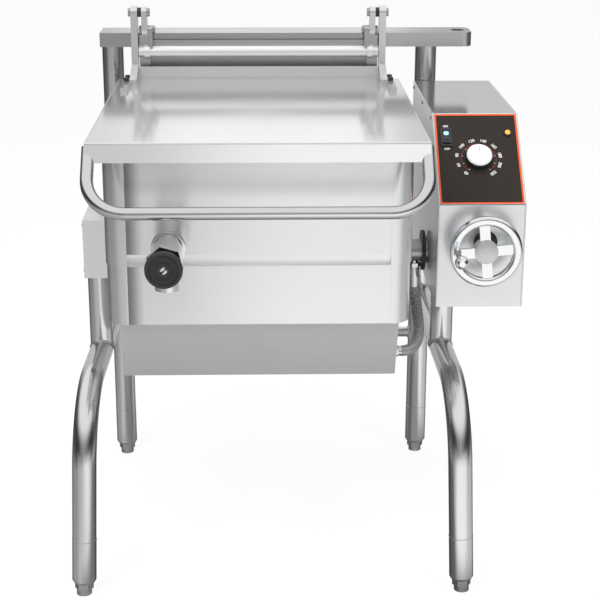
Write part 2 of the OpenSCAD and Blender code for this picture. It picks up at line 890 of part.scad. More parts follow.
plug_right = 8;
plug_up_share = 0.52;
heater_slope_len = norm([heater_slope, jacket_bottom - heater_bottom]);
heater_half_w = pan_half_w - heater_inset;
module heater_cover() {
    color("silver") place() difference() {
        translate([pan_x - heater_half_w, 0, 0])
            rotate([90, 0, 90]) linear_extrude(2 * heater_half_w) heater_profile(0);
        translate([pan_x - heater_half_w + heater_t, 0, 0])
            rotate([90, 0, 90]) linear_extrude(2 * (heater_half_w - heater_t)) heater_profile(heater_t);
        heater_front()
            translate([plug_right, heater_slope_len * plug_up_share, -over - heater_t])
                cylinder(r = plug_d / 2, h = heater_t + 2 * over);
        translate([pan_x + heater_half_w - heater_t - over, conduit_y, conduit_z])
            rotate([0, 90, 0]) cylinder(r = fitting_neck_r, h = heater_t + 2 * over);
    }
}

module cover_plug() {
    color("silver") place() heater_front()
        translate([plug_right, heater_slope_len * plug_up_share, -heater_t])
            cylinder(r = plug_d / 2, h = heater_t + plug_proud);
}
plug_proud = 1;

// Hairpin elements clamped under the cooking plate
element_count = 3;
element_pitch = 190;
hairpin_w = 90;
hairpin_len = 480;
module heating_elements() {
    r = element_d / 2;
    z = pan_floor - cook_plate_t - r;
    y1 = pan_back - jacket_gap - 2 * hairpin_w / 2;
    color("dimgray") place() for (i = [0 : element_count - 1])
        translate([pan_x + (i - (element_count - 1) / 2) * element_pitch, y1, z]) {
            for (side = [-1, 1])
                translate([side * hairpin_w / 2, 0, 0]) rod_y(r, -hairpin_len, 0);
            translate([0, -hairpin_len, 0])
                rotate([0, 0, 180])
                    rotate_extrude(angle = 180) translate([hairpin_w / 2, 0]) circle(r = r);
        }
}

// Board that keeps the heat up against the elements, carried by the jacket's lower flange
board_t = 25;
module insulation_board() {
    z1 = pan_floor - cook_plate_t - element_d;
    color("wheat") place() difference() {
        translate([pan_x, 0, z1 - board_t])
            linear_extrude(board_t) pan_outline(jacket_t + bead_proud + jacket_t);
        block([pan_x - pan_half_w, -pan_front, z1 - board_t - over],
            [pan_x + pan_half_w, -pan_front + 2 * bead_proud + 2 * jacket_t, z1 + over]);
    }
}

// Shafts that the pan tilts on

module left_trunnion() {
    x1 = pan_x - lower_half_w;
    color("darkgray") place() translate([0, -trunnion_y, trunnion_z]) {
        rod_x(flange_d / 2, x1 - flange_t, x1);
        rod_x(trunnion_r, -upright_x - block_w / 2 + run_fit, x1 - flange_t);
    }
}

right_shaft_over = 10;
module right_trunnion() {
    x0 = pan_x + lower_half_w;
    x1 = worm_x + wheel_w / 2 + bush_wall + right_shaft_over;
    color("darkgray") place() translate([0, -trunnion_y, trunnion_z]) {
        difference() {
            union() {
                rod_x(flange_d / 2, x0, x0 + flange_t);
                rod_x(trunnion_r, x0 + flange_t, x1);
            }
            rod_x(trunnion_bore / 2, x0 - over, x1 + over);
            translate([conduit_x, 0, -trunnion_r - over]) cylinder(r = fitting_neck_r, h = trunnion_r);
        }
    }
}

// Ring of four hexagon heads on each trunnion's flange
bolt_r = 8;
bolt_h = 5;
module flange_bolts() {
    color("dimgray") place() translate([pan_x, -trunnion_y, trunnion_z])
        for (side = [-1, 1])
            on_side(side) for (i = [0 : 3])
                rotate([45 + 90 * i, 0, 0])
                    translate([lower_half_w + flange_t, 0, (flange_d / 2 + trunnion_r) / 2])
                        rotate([0, 90, 0]) cylinder(r = bolt_r, h = bolt_h, $fn = 6);
}

collar_gap = 6;
module trunnion_collar() {
    x1 = console_left - collar_gap;
    color("black") place() translate([0, -trunnion_y, trunnion_z])
        difference() {
            rod_x(collar_d / 2, x1 - collar_t, x1);
            rod_x(trunnion_r, x1 - collar_t - over, x1 + over);
        }
}

// Conduit from the heater cover up to the hollow trunnion

conduit_in = 167;
conduit_up = 25;
conduit_y = conduit_in - pan_front;
conduit_z = heater_bottom + conduit_up;
fitting_wall = 2;
conduit_x = console_left - collar_gap - collar_t - conduit_d / 2 - fitting_wall - 1.5 * seat_gap;
fitting_len = 20;
fitting_neck_r = 9;
nut_len = 39;
conduit_start = [pan_x + heater_half_w + fitting_len, conduit_y, conduit_z];
conduit_end = [conduit_x, -trunnion_y, trunnion_z - trunnion_r - fitting_len - nut_len];
conduit_pull_x = 62;
conduit_pull_z = 60;
conduit_rings = 14;
conduit_sides = 10;

// Point and direction on the conduit's curve, where s runs from 0 to 1
function conduit_at(s) =
    pow(1 - s, 3) * conduit_start
    + 3 * pow(1 - s, 2) * s * (conduit_start + [conduit_pull_x, 0, 0])
    + 3 * (1 - s) * s * s * (conduit_end - [0, 0, conduit_pull_z])
    + pow(s, 3) * conduit_end;
function conduit_way(s) =
    let(d = pow(1 - s, 2) * [conduit_pull_x, 0, 0]
        + 2 * (1 - s) * s * (conduit_end - [0, 0, conduit_pull_z] - conduit_start - [conduit_pull_x, 0, 0])
        + s * s * [0, 0, conduit_pull_z])
    d / norm(d);
function unit(v) = v / norm(v);

module flexible_conduit() {
    side_way = [1, -1, 0];
    points = [for (i = [0 : conduit_rings])
        let(s = i / conduit_rings, t = conduit_way(s), u = unit(cross(t, side_way)), w = cross(t, u))
        for (k = [0 : conduit_sides - 1])
            let(a = 360 * k / conduit_sides)
            conduit_at(s) + conduit_d / 2 * (cos(a) * u + sin(a) * w)];
    faces = concat(
        [[for (k = [conduit_sides - 1 : -1 : 0]) k]],
        [[for (k = [0 : conduit_sides - 1]) conduit_rings * conduit_sides + k]],
        [for (i = [0 : conduit_rings - 1], k = [0 : conduit_sides - 1])
            let(a = i * conduit_sides + k, b = i * conduit_sides + (k + 1) % conduit_sides)
            each [[a, b, b + conduit_sides], [a, b + conduit_sides, a + conduit_sides]]]);
    color("dimgray") place() polyhedron(points, [for (f = faces) [for (j = [len(f) - 1 : -1 : 0]) f[j]]]);
}

// Threaded neck, hexagon nut and ferrule at each end of the conduit
module fitting() {
    cylinder(r = fitting_neck_r, h = fitting_len);
    translate([0, 0, fitting_neck_h]) cylinder(r = conduit_d / 2 + fitting_wall, h = nut_h, $fn = 6);
    translate([0, 0, fitting_neck_h + nut_h])
        cylinder(r = conduit_d / 2, h = fitting_len - fitting_neck_h - nut_h);
}
fitting_neck_h = 4;
nut_h = 9;

module conduit_fittings() {
    color("lightgray") place() {
        translate([pan_x + heater_half_w - heater_t, conduit_y, conduit_z]) rotate([0, 90, 0])
            difference() {
                union() {
                    translate([0, 0, heater_t]) fitting();
                    cylinder(r = fitting_neck_r, h = heater_t);
                }
                translate([0, 0, -over]) cylinder(r = fitting_neck_r - fitting_wall, h = fitting_len - over);
            }
        translate([conduit_x, -trunnion_y, conduit_end[2]])
            mirror([0, 0, 1]) translate([0, 0, -fitting_len - nut_len]) {
                fitting();
                translate([0, 0, fitting_len]) cylinder(r = conduit_d / 2, h = nut_len);
                translate([0, 0, -trunnion_r + trunnion_bore / 2 + seat_gap])
                    cylinder(r = fitting_neck_r, h = trunnion_r);
            }
    }
}

// Draw-off valve

socket_ledge = 2.5;
socket_h = valve_below - valve_bore / 2 - socket_ledge;
bonnet_w = 74.5;
bonnet_turn = -16.3;
gland_r = 15;
stem_r = 5;

// Moves to the valve's axis at its outlet, with Z towards the hand knob
module valve_front() translate([valve_x, valve_y, valve_z]) rotate([90, 0, 0]) children();

// Level body with a nipple into the pan behind and an outlet pipe below
module valve_body() {
    nipple_end = -pan_front + jacket_t + jacket_gap + pan_wall;
    color("silver") place() difference() {
        union() {
            translate([valve_x, valve_y, valve_z - valve_below]) cylinder(r = outlet_d / 2, h = valve_below);
            translate([valve_x, 0, valve_z]) {
                rod_y(valve_d / 2, valve_y - boss_reach, -pan_front + bead_proud);
                rod_y(valve_bore / 2 + valve_wall, -pan_front, nipple_end);
            }
        }
        translate([valve_x, valve_y, valve_z - valve_below]) {
            translate([0, 0, -over]) cylinder(r = outlet_bore / 2, h = socket_h + over);
            cylinder(r = valve_bore / 2, h = valve_below);
        }
        translate([valve_x, 0, valve_z])
            rod_y(valve_bore / 2, valve_y - outlet_bore / 2, nipple_end + over);
        valve_front() cylinder(r = stem_r + run_fit, h = boss_reach + over);
    }
}

// Large hexagon nut with the stem's gland before it
module valve_bonnet() {
    color("silver") place() valve_front()
        translate([0, 0, boss_reach])
            difference() {
                union() {
                    rotate([0, 0, bonnet_turn]) cylinder(r = bonnet_w / 2, h = bonnet_h, $fn = 6);
                    cylinder(r = gland_r, h = bonnet_h + gland_h);
                }
                bore(stem_r + run_fit, bonnet_h + gland_h);
            }
}

disc_gap = 0.5;
disc_t = 4;
disc_back = 24;
module valve_stem() {
    color("lightgray") place() valve_front()
        translate([0, 0, -disc_back]) {
            cylinder(r = valve_bore / 2 - disc_gap, h = disc_t);
            cylinder(r = stem_r, h = disc_back + knob_seat + valve_knob_t / 2);
        }
}

knob_hub_r = 14;
module valve_knob() {
    r = valve_knob_d / 2;
    edge = valve_knob_t / 4;
    color("black") place() valve_front()
        translate([0, 0, knob_seat])
            difference() {
                rotate_extrude() {
                    translate([0, edge]) square([r, valve_knob_t - 2 * edge]);
                    square([r - edge, valve_knob_t]);
                    translate([r - edge, edge]) circle(r = edge);
                    translate([r - edge, valve_knob_t - edge]) circle(r = edge);
                }
                translate([0, 0, -over]) cylinder(r = stem_r + run_fit, h = valve_knob_t / 2 + over);
                translate([0, 0, valve_knob_t - edge])
                    difference() {
                        cylinder(r = r - 2 * edge, h = valve_knob_t);
                        bore(knob_hub_r, valve_knob_t);
                    }
            }
}

// Lid

module lid_block() {
    block([pan_x - lid_half_w, -lid_front, lid_top - lid_skirt], [pan_x + lid_half_w, lid_back, lid_top]);
}

module lid() {
    color("gainsboro") place() difference() {
        lid_block();
        block([pan_x - lid_half_w + lid_t, -lid_front + lid_t, lid_top - lid_skirt - over],
            [pan_x + lid_half_w - lid_t, lid_back + over, lid_top - lid_t]);
    }
}

// Bent tube in a plane that slopes up and back to the lid's sides
handle_top_drop = 15;
handle_set_back = 25;
handle_wall = 2;
module lid_handle() {
    rise = lid_top - handle_top_drop - handle_z;
    back = -lid_front + handle_set_back - handle_y;
    color("gainsboro") place() difference() {
        translate([pan_x, handle_y, handle_z])
            rotate([atan2(rise, back), 0, 0])
                difference() {
                    handle_bow(handle_r, norm([rise, back]));
                    handle_bow(handle_r - handle_wall, norm([rise, back]) + over);
                }
        lid_block();
    }
}

module handle_bow(r, reach) {
    x = handle_half_w - handle_r;
    rod_x(r, handle_bend - x, x - handle_bend);
    for (side = [-1, 1])
        on_side(side) translate([x - handle_bend, handle_bend, 0]) {
            rotate([0, 0, -90]) rotate_extrude(angle = 90) translate([handle_bend, 0]) circle(r = r);
            translate([handle_bend, 0, 0]) rod_y(r, 0, reach - handle_bend);
        }
}

rail_t = 3;
rail_foot = 16;
module lid_rail() {
    half = arm_x - arm_t - over;
    y = lid_back - rail_t;
    color("gainsboro") place() {
        block([pan_x - half, y, lid_top], [pan_x + half, lid_back, lid_top + rail_h]);
        block([pan_x - half, y - rail_foot, lid_top], [pan_x + half, y, lid_top + rail_t]);
    }
}

// Lid hinge

arm_heel = 34;
arm_toe = 10;
ear_w = 16;
ear_h = 9;
ear_in = 3;
ear_back = 22;
ear_x = arm_x - ear_in;
module hinge_arms() {
    color("lightgray") place() pan_pair() {
        translate([arm_x - arm_t, 0, 0])
            rotate([90, 0, 90]) linear_extrude(arm_t)
                difference() {
                    union() {
                        translate([hinge_y, hinge_z]) circle(r = arm_w / 2);
                        polygon([
                            [hinge_y - arm_w / 2, hinge_z],
                            [hinge_y - arm_w / 2, lid_top + arm_heel],
                            [hinge_y - arm_foot, lid_top + arm_toe],
                            [hinge_y - arm_foot, lid_top],
                            [lid_back, lid_top],
                            [hinge_y + arm_w / 2, lid_top + arm_heel],
                            [hinge_y + arm_w / 2, hinge_z]
                        ]);
                    }
                    translate([hinge_y, hinge_z]) circle(r = pin_d / 2);
                }
        block([ear_x, hinge_y - ear_reach, lid_top], [ear_x + ear_w, lid_back - ear_back, lid_top + ear_h]);
    }
}

// Cap screws that hold the arms' ears to the lid
screw_r = 6;
screw_h = 8;
bolt_first = 62;
bolt_pitch = 36;
module arm_bolts() {
    color("dimgray") place() pan_pair() for (i = [0, 1])
        translate([arm_x + screw_r + seat_gap, hinge_y - bolt_first - bolt_pitch * i, lid_top + ear_h])
            difference() {
                cylinder(r = screw_r, h = screw_h);
                translate([0, 0, screw_h / 2]) cylinder(r = screw_r / 2, h = screw_h, $fn = 6);
            }
}

link_r = 13;
link_x = arm_x - arm_t - washer_gap;
module hinge_links() {
    color("lightgray") place() pan_pair() translate([link_x - link_t, 0, 0])
        rotate([90, 0, 90]) linear_extrude(link_t)
            difference() {
                union() {
                    for (z = [link_bolt_z, hinge_z])
                        translate([hinge_y, z]) circle(r = link_r);
                    translate([hinge_y - link_r, link_bolt_z])
                        square([2 * link_r, hinge_z - link_bolt_z]);
                }
                translate([hinge_y, link_bolt_z]) circle(r = pin_d / 2);
                translate([hinge_y, hinge_z]) circle(r = pin_d / 2 + run_fit);
            }
}

head_t = 6;
head_r = 10;
bracket_x = link_x - link_t;
module link_bolts() {
    color("dimgray") place() pan_pair() translate([0, hinge_y, link_bolt_z]) {
        rod_x(pin_d / 2, bracket_x - hinge_bracket_t, link_x);
        translate([link_x, 0, 0]) rotate([0, 90, 0]) cylinder(r = head_r, h = head_t, $fn = 6);
        translate([bracket_x - hinge_bracket_t - head_t, 0, 0])
            rotate([0, 90, 0]) cylinder(r = head_r, h = head_t, $fn = 6);
    }
}

module hinge_pins() {
    color("dimgray") place() pan_pair() translate([0, hinge_y, hinge_z]) {
        rod_x(pin_d / 2, bracket_x - seat_gap, arm_x);
        rod_x(head_r, arm_x, arm_x + head_t);
        rod_x(head_r, bracket_x - seat_gap - head_t, bracket_x - seat_gap);
    }
}

module hinge_washers() {
    color("black") place() pan_pair() translate([0, hinge_y, hinge_z])
        difference() {
            rod_x(head_r + over, link_x + seat_gap, arm_x - arm_t);
            rod_x(pin_d / 2, link_x, arm_x);
        }
}

// Straps on the pan's rear wall behind the torsion tube, each with an upright tongue for the link.
// A plate with its top edge folded forwards is welded to the backs of both.
bracket_drop = 145;
bracket_pad = 90;
tongue_r = 11;
strap_in = 6;
plate_t = 3;
plate_sunk = 1;
plate_over = 25;
plate_h = 115;
plate_fold = 9;
module hinge_plate() {
    half = bracket_x + strap_w - 2 * strap_in;
    y = hinge_y + strap_t - plate_sunk;
    top = torsion_z + plate_over;
    block([pan_x - half, y, top - plate_h], [pan_x + half, y + plate_t, top]);
    block([pan_x - half, y + plate_t - plate_fold, top - plate_t], [pan_x + half, y + plate_t, top]);
}

module hinge_brackets() {
    low = rim_z - bracket_drop;
    y0 = pan_back;
    top = link_bolt_z - link_r - 2 * over;
    color("lightgray") place() difference() {
        union() {
            hinge_plate();
            pan_pair() translate([bracket_x - strap_in, 0, 0])
                rotate([90, 0, 90]) linear_extrude(strap_w)
                    polygon([
                        [y0, low],
                        [y0, low + bracket_pad],
                        [hinge_y, low + bracket_pad + hinge_y - y0],
                        [hinge_y, top],
                        [hinge_y + strap_t, top],
                        [hinge_y + strap_t, low + bracket_pad],
                        [y0 + strap_t, low]
                    ]);
            pan_pair() translate([bracket_x - hinge_bracket_t, 0, 0])
                rotate([90, 0, 90]) linear_extrude(hinge_bracket_t) {
                    translate([hinge_y, link_bolt_z]) circle(r = tongue_r);
                    translate([hinge_y - tongue_r, torsion_z])
                        square([2 * tongue_r, link_bolt_z - torsion_z]);
                }
        }
        pan_pair() translate([0, hinge_y, torsion_z]) {
            rod_x(torsion_d / 2, bracket_x - strap_w, bracket_x + strap_w);
            rod_x(torsion_collar_r, torsion_collar_x, torsion_collar_x + torsion_collar_w);
        }
        pan_pair() translate([0, hinge_y, link_bolt_z]) rod_x(pin_d / 2, bracket_x - strap_w, bracket_x + over);
    }
}

torsion_wall = 3.5;
module torsion_tube() {
    half = arm_x - arm_t - over;
    color("gainsboro") place() translate([pan_x, hinge_y, torsion_z])
        difference() {
            rod_x(torsion_d / 2, -half, half);
            rod_x(torsion_d / 2 - torsion_wall, -half - over, half + over);
        }
}

torsion_collar_w = 13;
torsion_collar_in = 5;
torsion_collar_x = bracket_x - torsion_collar_in;
torsion_collar_r = torsion_d / 2 + torsion_wall;
module torsion_collars() {
    color("lightgray") place() pan_pair() translate([0, hinge_y, torsion_z])
        difference() {
            rod_x(torsion_collar_r, torsion_collar_x, torsion_collar_x + torsion_collar_w);
            rod_x(torsion_d / 2, torsion_collar_x - over, torsion_collar_x + torsion_collar_w + over);
        }
}

// Console

// Side profile of the console, inset by a wall and open below
module console_profile(t) {
    polygon([
        [-console_front + t, console_bottom - (t > 0 ? over : 0)],
        [-console_front + t, kink_z - t * tan((90 - slope_deg) / 2)],
        [slope_run - console_front + t * tan(slope_deg / 2), console_top - t],
        [console_back - t, console_top - t],
        [console_back - t, console_bottom - (t > 0 ? over : 0)]
    ]);
}

// Moves to the foot of the sloping panel, with Y up the slope and Z outwards
module on_panel(x, y) {
    translate([console_x, -console_front, kink_z])
        rotate([slope_deg, 0, 0])
            translate([x, y, 0])
                children();
}

switch_body_w = 20;
switch_body_l = 40;
lamp_body_r = 6;
dial_neck_r = 5;
hole_deep = 10;

// Ways through the panel and the sheet under it for the switch, the lamp and the thermostat
module panel_holes() {
    on_panel(-switch_left, switch_up)
        block([-switch_body_w / 2, -switch_body_l / 2, -hole_deep], [switch_body_w / 2, switch_body_l / 2, hole_deep]);
    on_panel(lamp_right, lamp_up) translate([0, 0, -hole_deep]) cylinder(r = lamp_body_r, h = 2 * hole_deep);
    on_panel(0, dial_up) translate([0, 0, -hole_deep]) cylinder(r = dial_neck_r, h = 2 * hole_deep);
}

grommet_r = 24.5;
grommet_neck_r = 20;
grommet_right = 6;
grommet_up = 6;
module console_housing() {
    color("silver") place() difference() {
        translate([console_left + console_t, 0, 0])
            rotate([90, 0, 90]) linear_extrude(console_w - console_t) console_profile(0);
        translate([console_left, 0, 0])
            rotate([90, 0, 90]) linear_extrude(console_w - console_t) console_profile(console_t);
        translate([worm_x + grommet_right, 0, worm_z + grommet_up])
            rod_y(grommet_neck_r, -console_front - over, -console_front + console_t + over);
        panel_holes();
    }
}

side_hole_r = 30;
module console_side_cover() {
    color("silver") place() difference() {
        translate([console_left, 0, 0]) rotate([90, 0, 90]) linear_extrude(console_t) console_profile(0);
        translate([0, -trunnion_y, trunnion_z])
            rod_x(side_hole_r, console_left - over, console_left + console_t + over);
    }
}

base_gap = 1.6;
supply_r = 12.5;
supply_in = 53;
module console_base_plate() {
    t = console_t;
    color("silver") place() difference() {
        block([console_left + t, -console_front + t, console_bottom],
            [x_right - t, console_back - t, console_bottom + t]);
        translate([upright_x, -trunnion_y, console_bottom - over])
            cylinder(r = tube_r + base_gap, h = t + 2 * over);
        translate([worm_x, console_back - supply_in, console_bottom - over]) cylinder(r = supply_r, h = t + 2 * over);
    }
}

// Saddle on the rear leg, and the spacer ring between the side cover and the right bearing block
saddle_w = 60;
saddle_h = 100;
saddle_up = 37;
spacer_wall = 7;
module console_saddle() {
    low = trunnion_z + saddle_up;
    color("darkgray") place() {
        difference() {
            block([rear_leg_x - saddle_w / 2, console_back, low],
                [rear_leg_x + saddle_w / 2, rear_leg_y - tube_r / 2, low + saddle_h]);
            translate([rear_leg_x, rear_leg_y, low - over]) cylinder(r = tube_r, h = saddle_h + 2 * over);
        }
        translate([0, -trunnion_y, trunnion_z])
            difference() {
                rod_x(side_hole_r + spacer_wall, console_left + console_t, upright_x - block_w / 2);
                rod_x(side_hole_r, console_left, upright_x);
            }
    }
}

module control_panel() {
    color("black") place() difference() {
        on_panel(0, 0)
            block([panel_margin - console_w / 2, panel_margin, 0],
                [console_w / 2 - panel_margin, slope_len - panel_margin, panel_t]);
        panel_holes();
    }
}

// Switch frame, with a well for the rocker and bores for its pivot
bezel_h = 3;
well_w = 17;
well_l = 36;
well_deep = 18;
pivot_r = 1.5;
pivot_z = 2;
module switch_bezel() {
    color("black") place() on_panel(-switch_left, switch_up)
        difference() {
            union() {
                block([-bezel_w / 2, -bezel_l / 2, panel_t], [bezel_w / 2, bezel_l / 2, panel_t + bezel_h]);
                block([-switch_body_w / 2, -switch_body_l / 2, -well_deep - panel_t],
                    [switch_body_w / 2, switch_body_l / 2, panel_t]);
            }
            block([-well_w / 2, -well_l / 2, -well_deep], [well_w / 2, well_l / 2, panel_t + bezel_h + over]);
            translate([0, 0, pivot_z]) rod_x(pivot_r + run_fit, -switch_body_w / 2 - over, switch_body_w / 2 + over);
        }
}

rocker_tilt = 8;
rocker_half_l = 17;
rocker_low = 5;
rocker_high = 4;
rocker_dip = 2;
module rocker_switch() {
    half = well_w / 2 - seat_gap;
    color("black") place() on_panel(-switch_left, switch_up)
        translate([0, 0, pivot_z])
            rotate([-rocker_tilt, 0, 0]) {
                translate([-half, 0, 0])
                    rotate([90, 0, 90]) linear_extrude(2 * half)
                        polygon([
                            [-rocker_half_l, -rocker_low],
                            [rocker_half_l, -rocker_low],
                            [rocker_half_l, rocker_high],
                            [0, rocker_high - rocker_dip],
                            [-rocker_half_l, rocker_high]
                        ]);
                rod_x(pivot_r, -switch_body_w / 2, switch_body_w / 2);
            }
}

lamp_rim_h = 3;
lamp_lens_h = 3;
lamp_body_len = 28;
lamp_lens_share = 0.75;
module indicator_lamp() {
    r = lamp_d / 2;
    color("orange") place() on_panel(lamp_right, lamp_up) {
        translate([0, 0, -lamp_body_len]) cylinder(r = lamp_body_r, h = lamp_body_len + panel_t);
        translate([0, 0, panel_t]) cylinder(r = r, h = lamp_rim_h);
        translate([0, 0, panel_t + lamp_rim_h])
            cylinder(r1 = r * lamp_lens_share, r2 = r / 2, h = lamp_lens_h);
    }
}

spindle_r = 3;
stat_w = 56;
stat_deep = 32;
module thermostat_body() {
    color("whitesmoke") place() on_panel(0, dial_up)
        difference() {
            union() {
                block([-stat_w / 2, -stat_w / 2, -console_t - stat_deep], [stat_w / 2, stat_w / 2, -console_t]);
                translate([0, 0, -console_t]) cylinder(r = dial_neck_r, h = console_t + panel_t);
            }
            translate([0, 0, -stat_deep]) cylinder(r = spindle_r + run_fit, h = 2 * stat_deep);
        }
}

knob_lift = 0.5;
knob_edge = 3;
module thermostat_knob() {
    r = dial_d / 2;
    color("white") place() on_panel(0, dial_up) {
        translate([0, 0, panel_t + knob_lift]) cylinder(r = r, h = dial_h - knob_edge);
        translate([0, 0, panel_t + knob_lift + dial_h - knob_edge])
            cylinder(r1 = r, r2 = r - knob_edge, h = knob_edge);
        translate([0, 0, -stat_deep / 2]) cylinder(r = spindle_r, h = stat_deep);
    }
}

contactor_size = [60, 80, 85];
contactor_in = 193;
module contactor() {
    size = contactor_size;
    low = [worm_x - size[0] / 2, console_back - contactor_in, console_bottom + console_t];
    color("whitesmoke") place() {
        block(low, low + [size[0], size[1], size[2] * contactor_shoulder]);
        block(low + [0, size[1] / 4, 0], low + [size[0], size[1] * 3 / 4, size[2]]);
    }
}
contactor_shoulder = 0.7;

terminal_size = [96, 34, 30];
terminal_in = 103;
terminal_ways = 5;
module terminal_block() {
    size = terminal_size;
    pitch_x = size[0] / terminal_ways;
    low = [worm_x - size[0] / 2, console_back - terminal_in, console_bottom + console_t];
    color("whitesmoke") place() difference() {
        block(low, low + size);
        for (i = [0 : terminal_ways - 1])
            translate(low + [pitch_x * (i + 1 / 2), size[1] / 2, size[2] / 2])
                cylinder(r = pitch_x / 4, h = size[2]);
    }
}

grommet_t = 3;
module shaft_grommet() {
    color("black") place() translate([worm_x, 0, worm_z])
        difference() {
            translate([grommet_right, 0, grommet_up]) {
                rod_y(grommet_r, -console_front - grommet_t, -console_front);
                rod_y(grommet_neck_r, -console_front - grommet_t, -console_front + console_t + grommet_t);
            }
            rod_y(worm_shaft_r + knob_lift, -console_front - 2 * grommet_t, -console_front + 4 * grommet_t);
        }
}

// Handwheel

rim_edge = 7;
spoke_t = 9;
hub_len = 26;
crank_pin_r = 4;
crank_pin_len = 50;
module handwheel() {
    r = handwheel_d / 2;
    color("dimgray") place() translate([worm_x, handwheel_y, worm_z])
        rotate([90, 0, 0]) {
            rotate_extrude() round_rect([r - rim_w, -rim_depth / 2], [r, rim_depth / 2], rim_edge);
            difference() {
                union() {
                    translate([0, 0, -hub_len + rim_depth / 2]) cylinder(r = hub_d / 2, h = hub_len);
                    for (i = [0 : 3])
                        rotate([0, 0, spoke_turn + 90 * i])
                            block([0, -spoke_w / 2, -spoke_t / 2], [r - rim_w / 2, spoke_w / 2, spoke_t / 2]);
                }
                translate([0, 0, -hub_len]) cylinder(r = worm_shaft_r, h = 2 * hub_len);
            }
            rotate([0, 0, 180 + spoke_turn])
                translate([crank_r, 0, 0]) cylinder(r = crank_pin_r, h = crank_pin_len);
        }
}

crank_collar_r = 9;
crank_neck_r = 6.5;
crank_flat_r = 6;
module crank_knob() {
    start = rim_depth / 2 + seat_gap;
    r = crank_d / 2;
    color("lightgray") place() translate([worm_x, handwheel_y, worm_z])
        rotate([90, 0, 0])
            rotate([0, 0, 180 + spoke_turn])
                translate([crank_r, 0, 0])
                    rotate_extrude()
                        difference() {
                            union() {
                                translate([0, start]) square([crank_collar_r, spoke_t / 2]);
                                translate([0, start]) square([crank_neck_r, crank_reach - start]);
                                intersection() {
                                    translate([0, crank_reach]) circle(r = r);
                                    square([r, crank_reach + sqrt(r * r - crank_flat_r * crank_flat_r)]);
                                }
                            }
                            translate([-r, 0]) square([r + crank_pin_r + run_fit, crank_pin_len + seat_gap]);
                        }
}

left_front_leg();
right_front_leg();
left_rear_leg();
right_rear_leg();
uprights();
leg_sleeves();
levelling_feet();
cross_tube();
rear_beam();
bearing_blocks();
bearing_bushes();
left_bearing_cover();
gear_bracket();
worm_bushes();
console_housing();
console_side_cover();
console_base_plate();
console_saddle();
control_panel();
switch_bezel();
indicator_lamp();
thermostat_body();
contactor();
terminal_block();
shaft_grommet();
pan_vessel();
upper_jacket();
lower_jacket();
heater_cover();
cover_plug();
heating_elements();
insulation_board();
left_trunnion();
right_trunnion();
flange_bolts();
trunnion_collar();
worm_wheel();
flexible_conduit();
conduit_fittings();
valve_body();
valve_bonnet();
valve_stem();
valve_knob();
hinge_brackets();
torsion_tube();
torsion_collars();
hinge_links();
link_bolts();
lid();
lid_handle();
lid_rail();
hinge_arms();
arm_bolts();
hinge_pins();
hinge_washers();
handwheel();
worm_shaft();
crank_knob();
thermostat_knob();
rocker_switch();
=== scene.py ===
import bmesh
import bpy
import numpy as np
from mathutils import Matrix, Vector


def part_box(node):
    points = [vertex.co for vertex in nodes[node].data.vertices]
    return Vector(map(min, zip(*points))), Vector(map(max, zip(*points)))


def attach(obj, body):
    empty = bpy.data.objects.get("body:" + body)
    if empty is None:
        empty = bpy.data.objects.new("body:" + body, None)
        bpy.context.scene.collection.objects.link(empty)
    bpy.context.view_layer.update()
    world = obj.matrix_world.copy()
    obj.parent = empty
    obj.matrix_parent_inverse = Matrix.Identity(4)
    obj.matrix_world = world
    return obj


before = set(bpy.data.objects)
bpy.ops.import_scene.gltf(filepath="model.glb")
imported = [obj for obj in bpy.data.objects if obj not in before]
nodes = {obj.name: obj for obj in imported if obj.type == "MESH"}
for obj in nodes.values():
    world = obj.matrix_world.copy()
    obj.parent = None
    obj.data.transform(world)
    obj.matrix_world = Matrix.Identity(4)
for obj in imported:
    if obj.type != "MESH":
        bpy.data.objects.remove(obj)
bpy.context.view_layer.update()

# Studio
# A pale floor without an edge, a white room, and a camera at the photograph's height and angle. The lens sees
# both white. Metal mirrors another room: dim in front, dark at the sides, bright above and behind.


class Value:
    """One output of a shader node, with the sums that a finish needs."""

    def __init__(self, finish, socket):
        self.finish = finish
        self.socket = socket

    def sum(self, operation, *rest):
        return self.finish.node("ShaderNodeMath", {"operation": operation}, [self, *rest])

    def __add__(self, other):
        return self.sum("ADD", other)

    def __sub__(self, other):
        return self.sum("SUBTRACT", other)

    def __mul__(self, other):
        return self.sum("MULTIPLY", other)

    def __rsub__(self, other):
        return self.finish.node("ShaderNodeMath", {"operation": "SUBTRACT"}, [other, self])

    __radd__ = __add__
    __rmul__ = __mul__


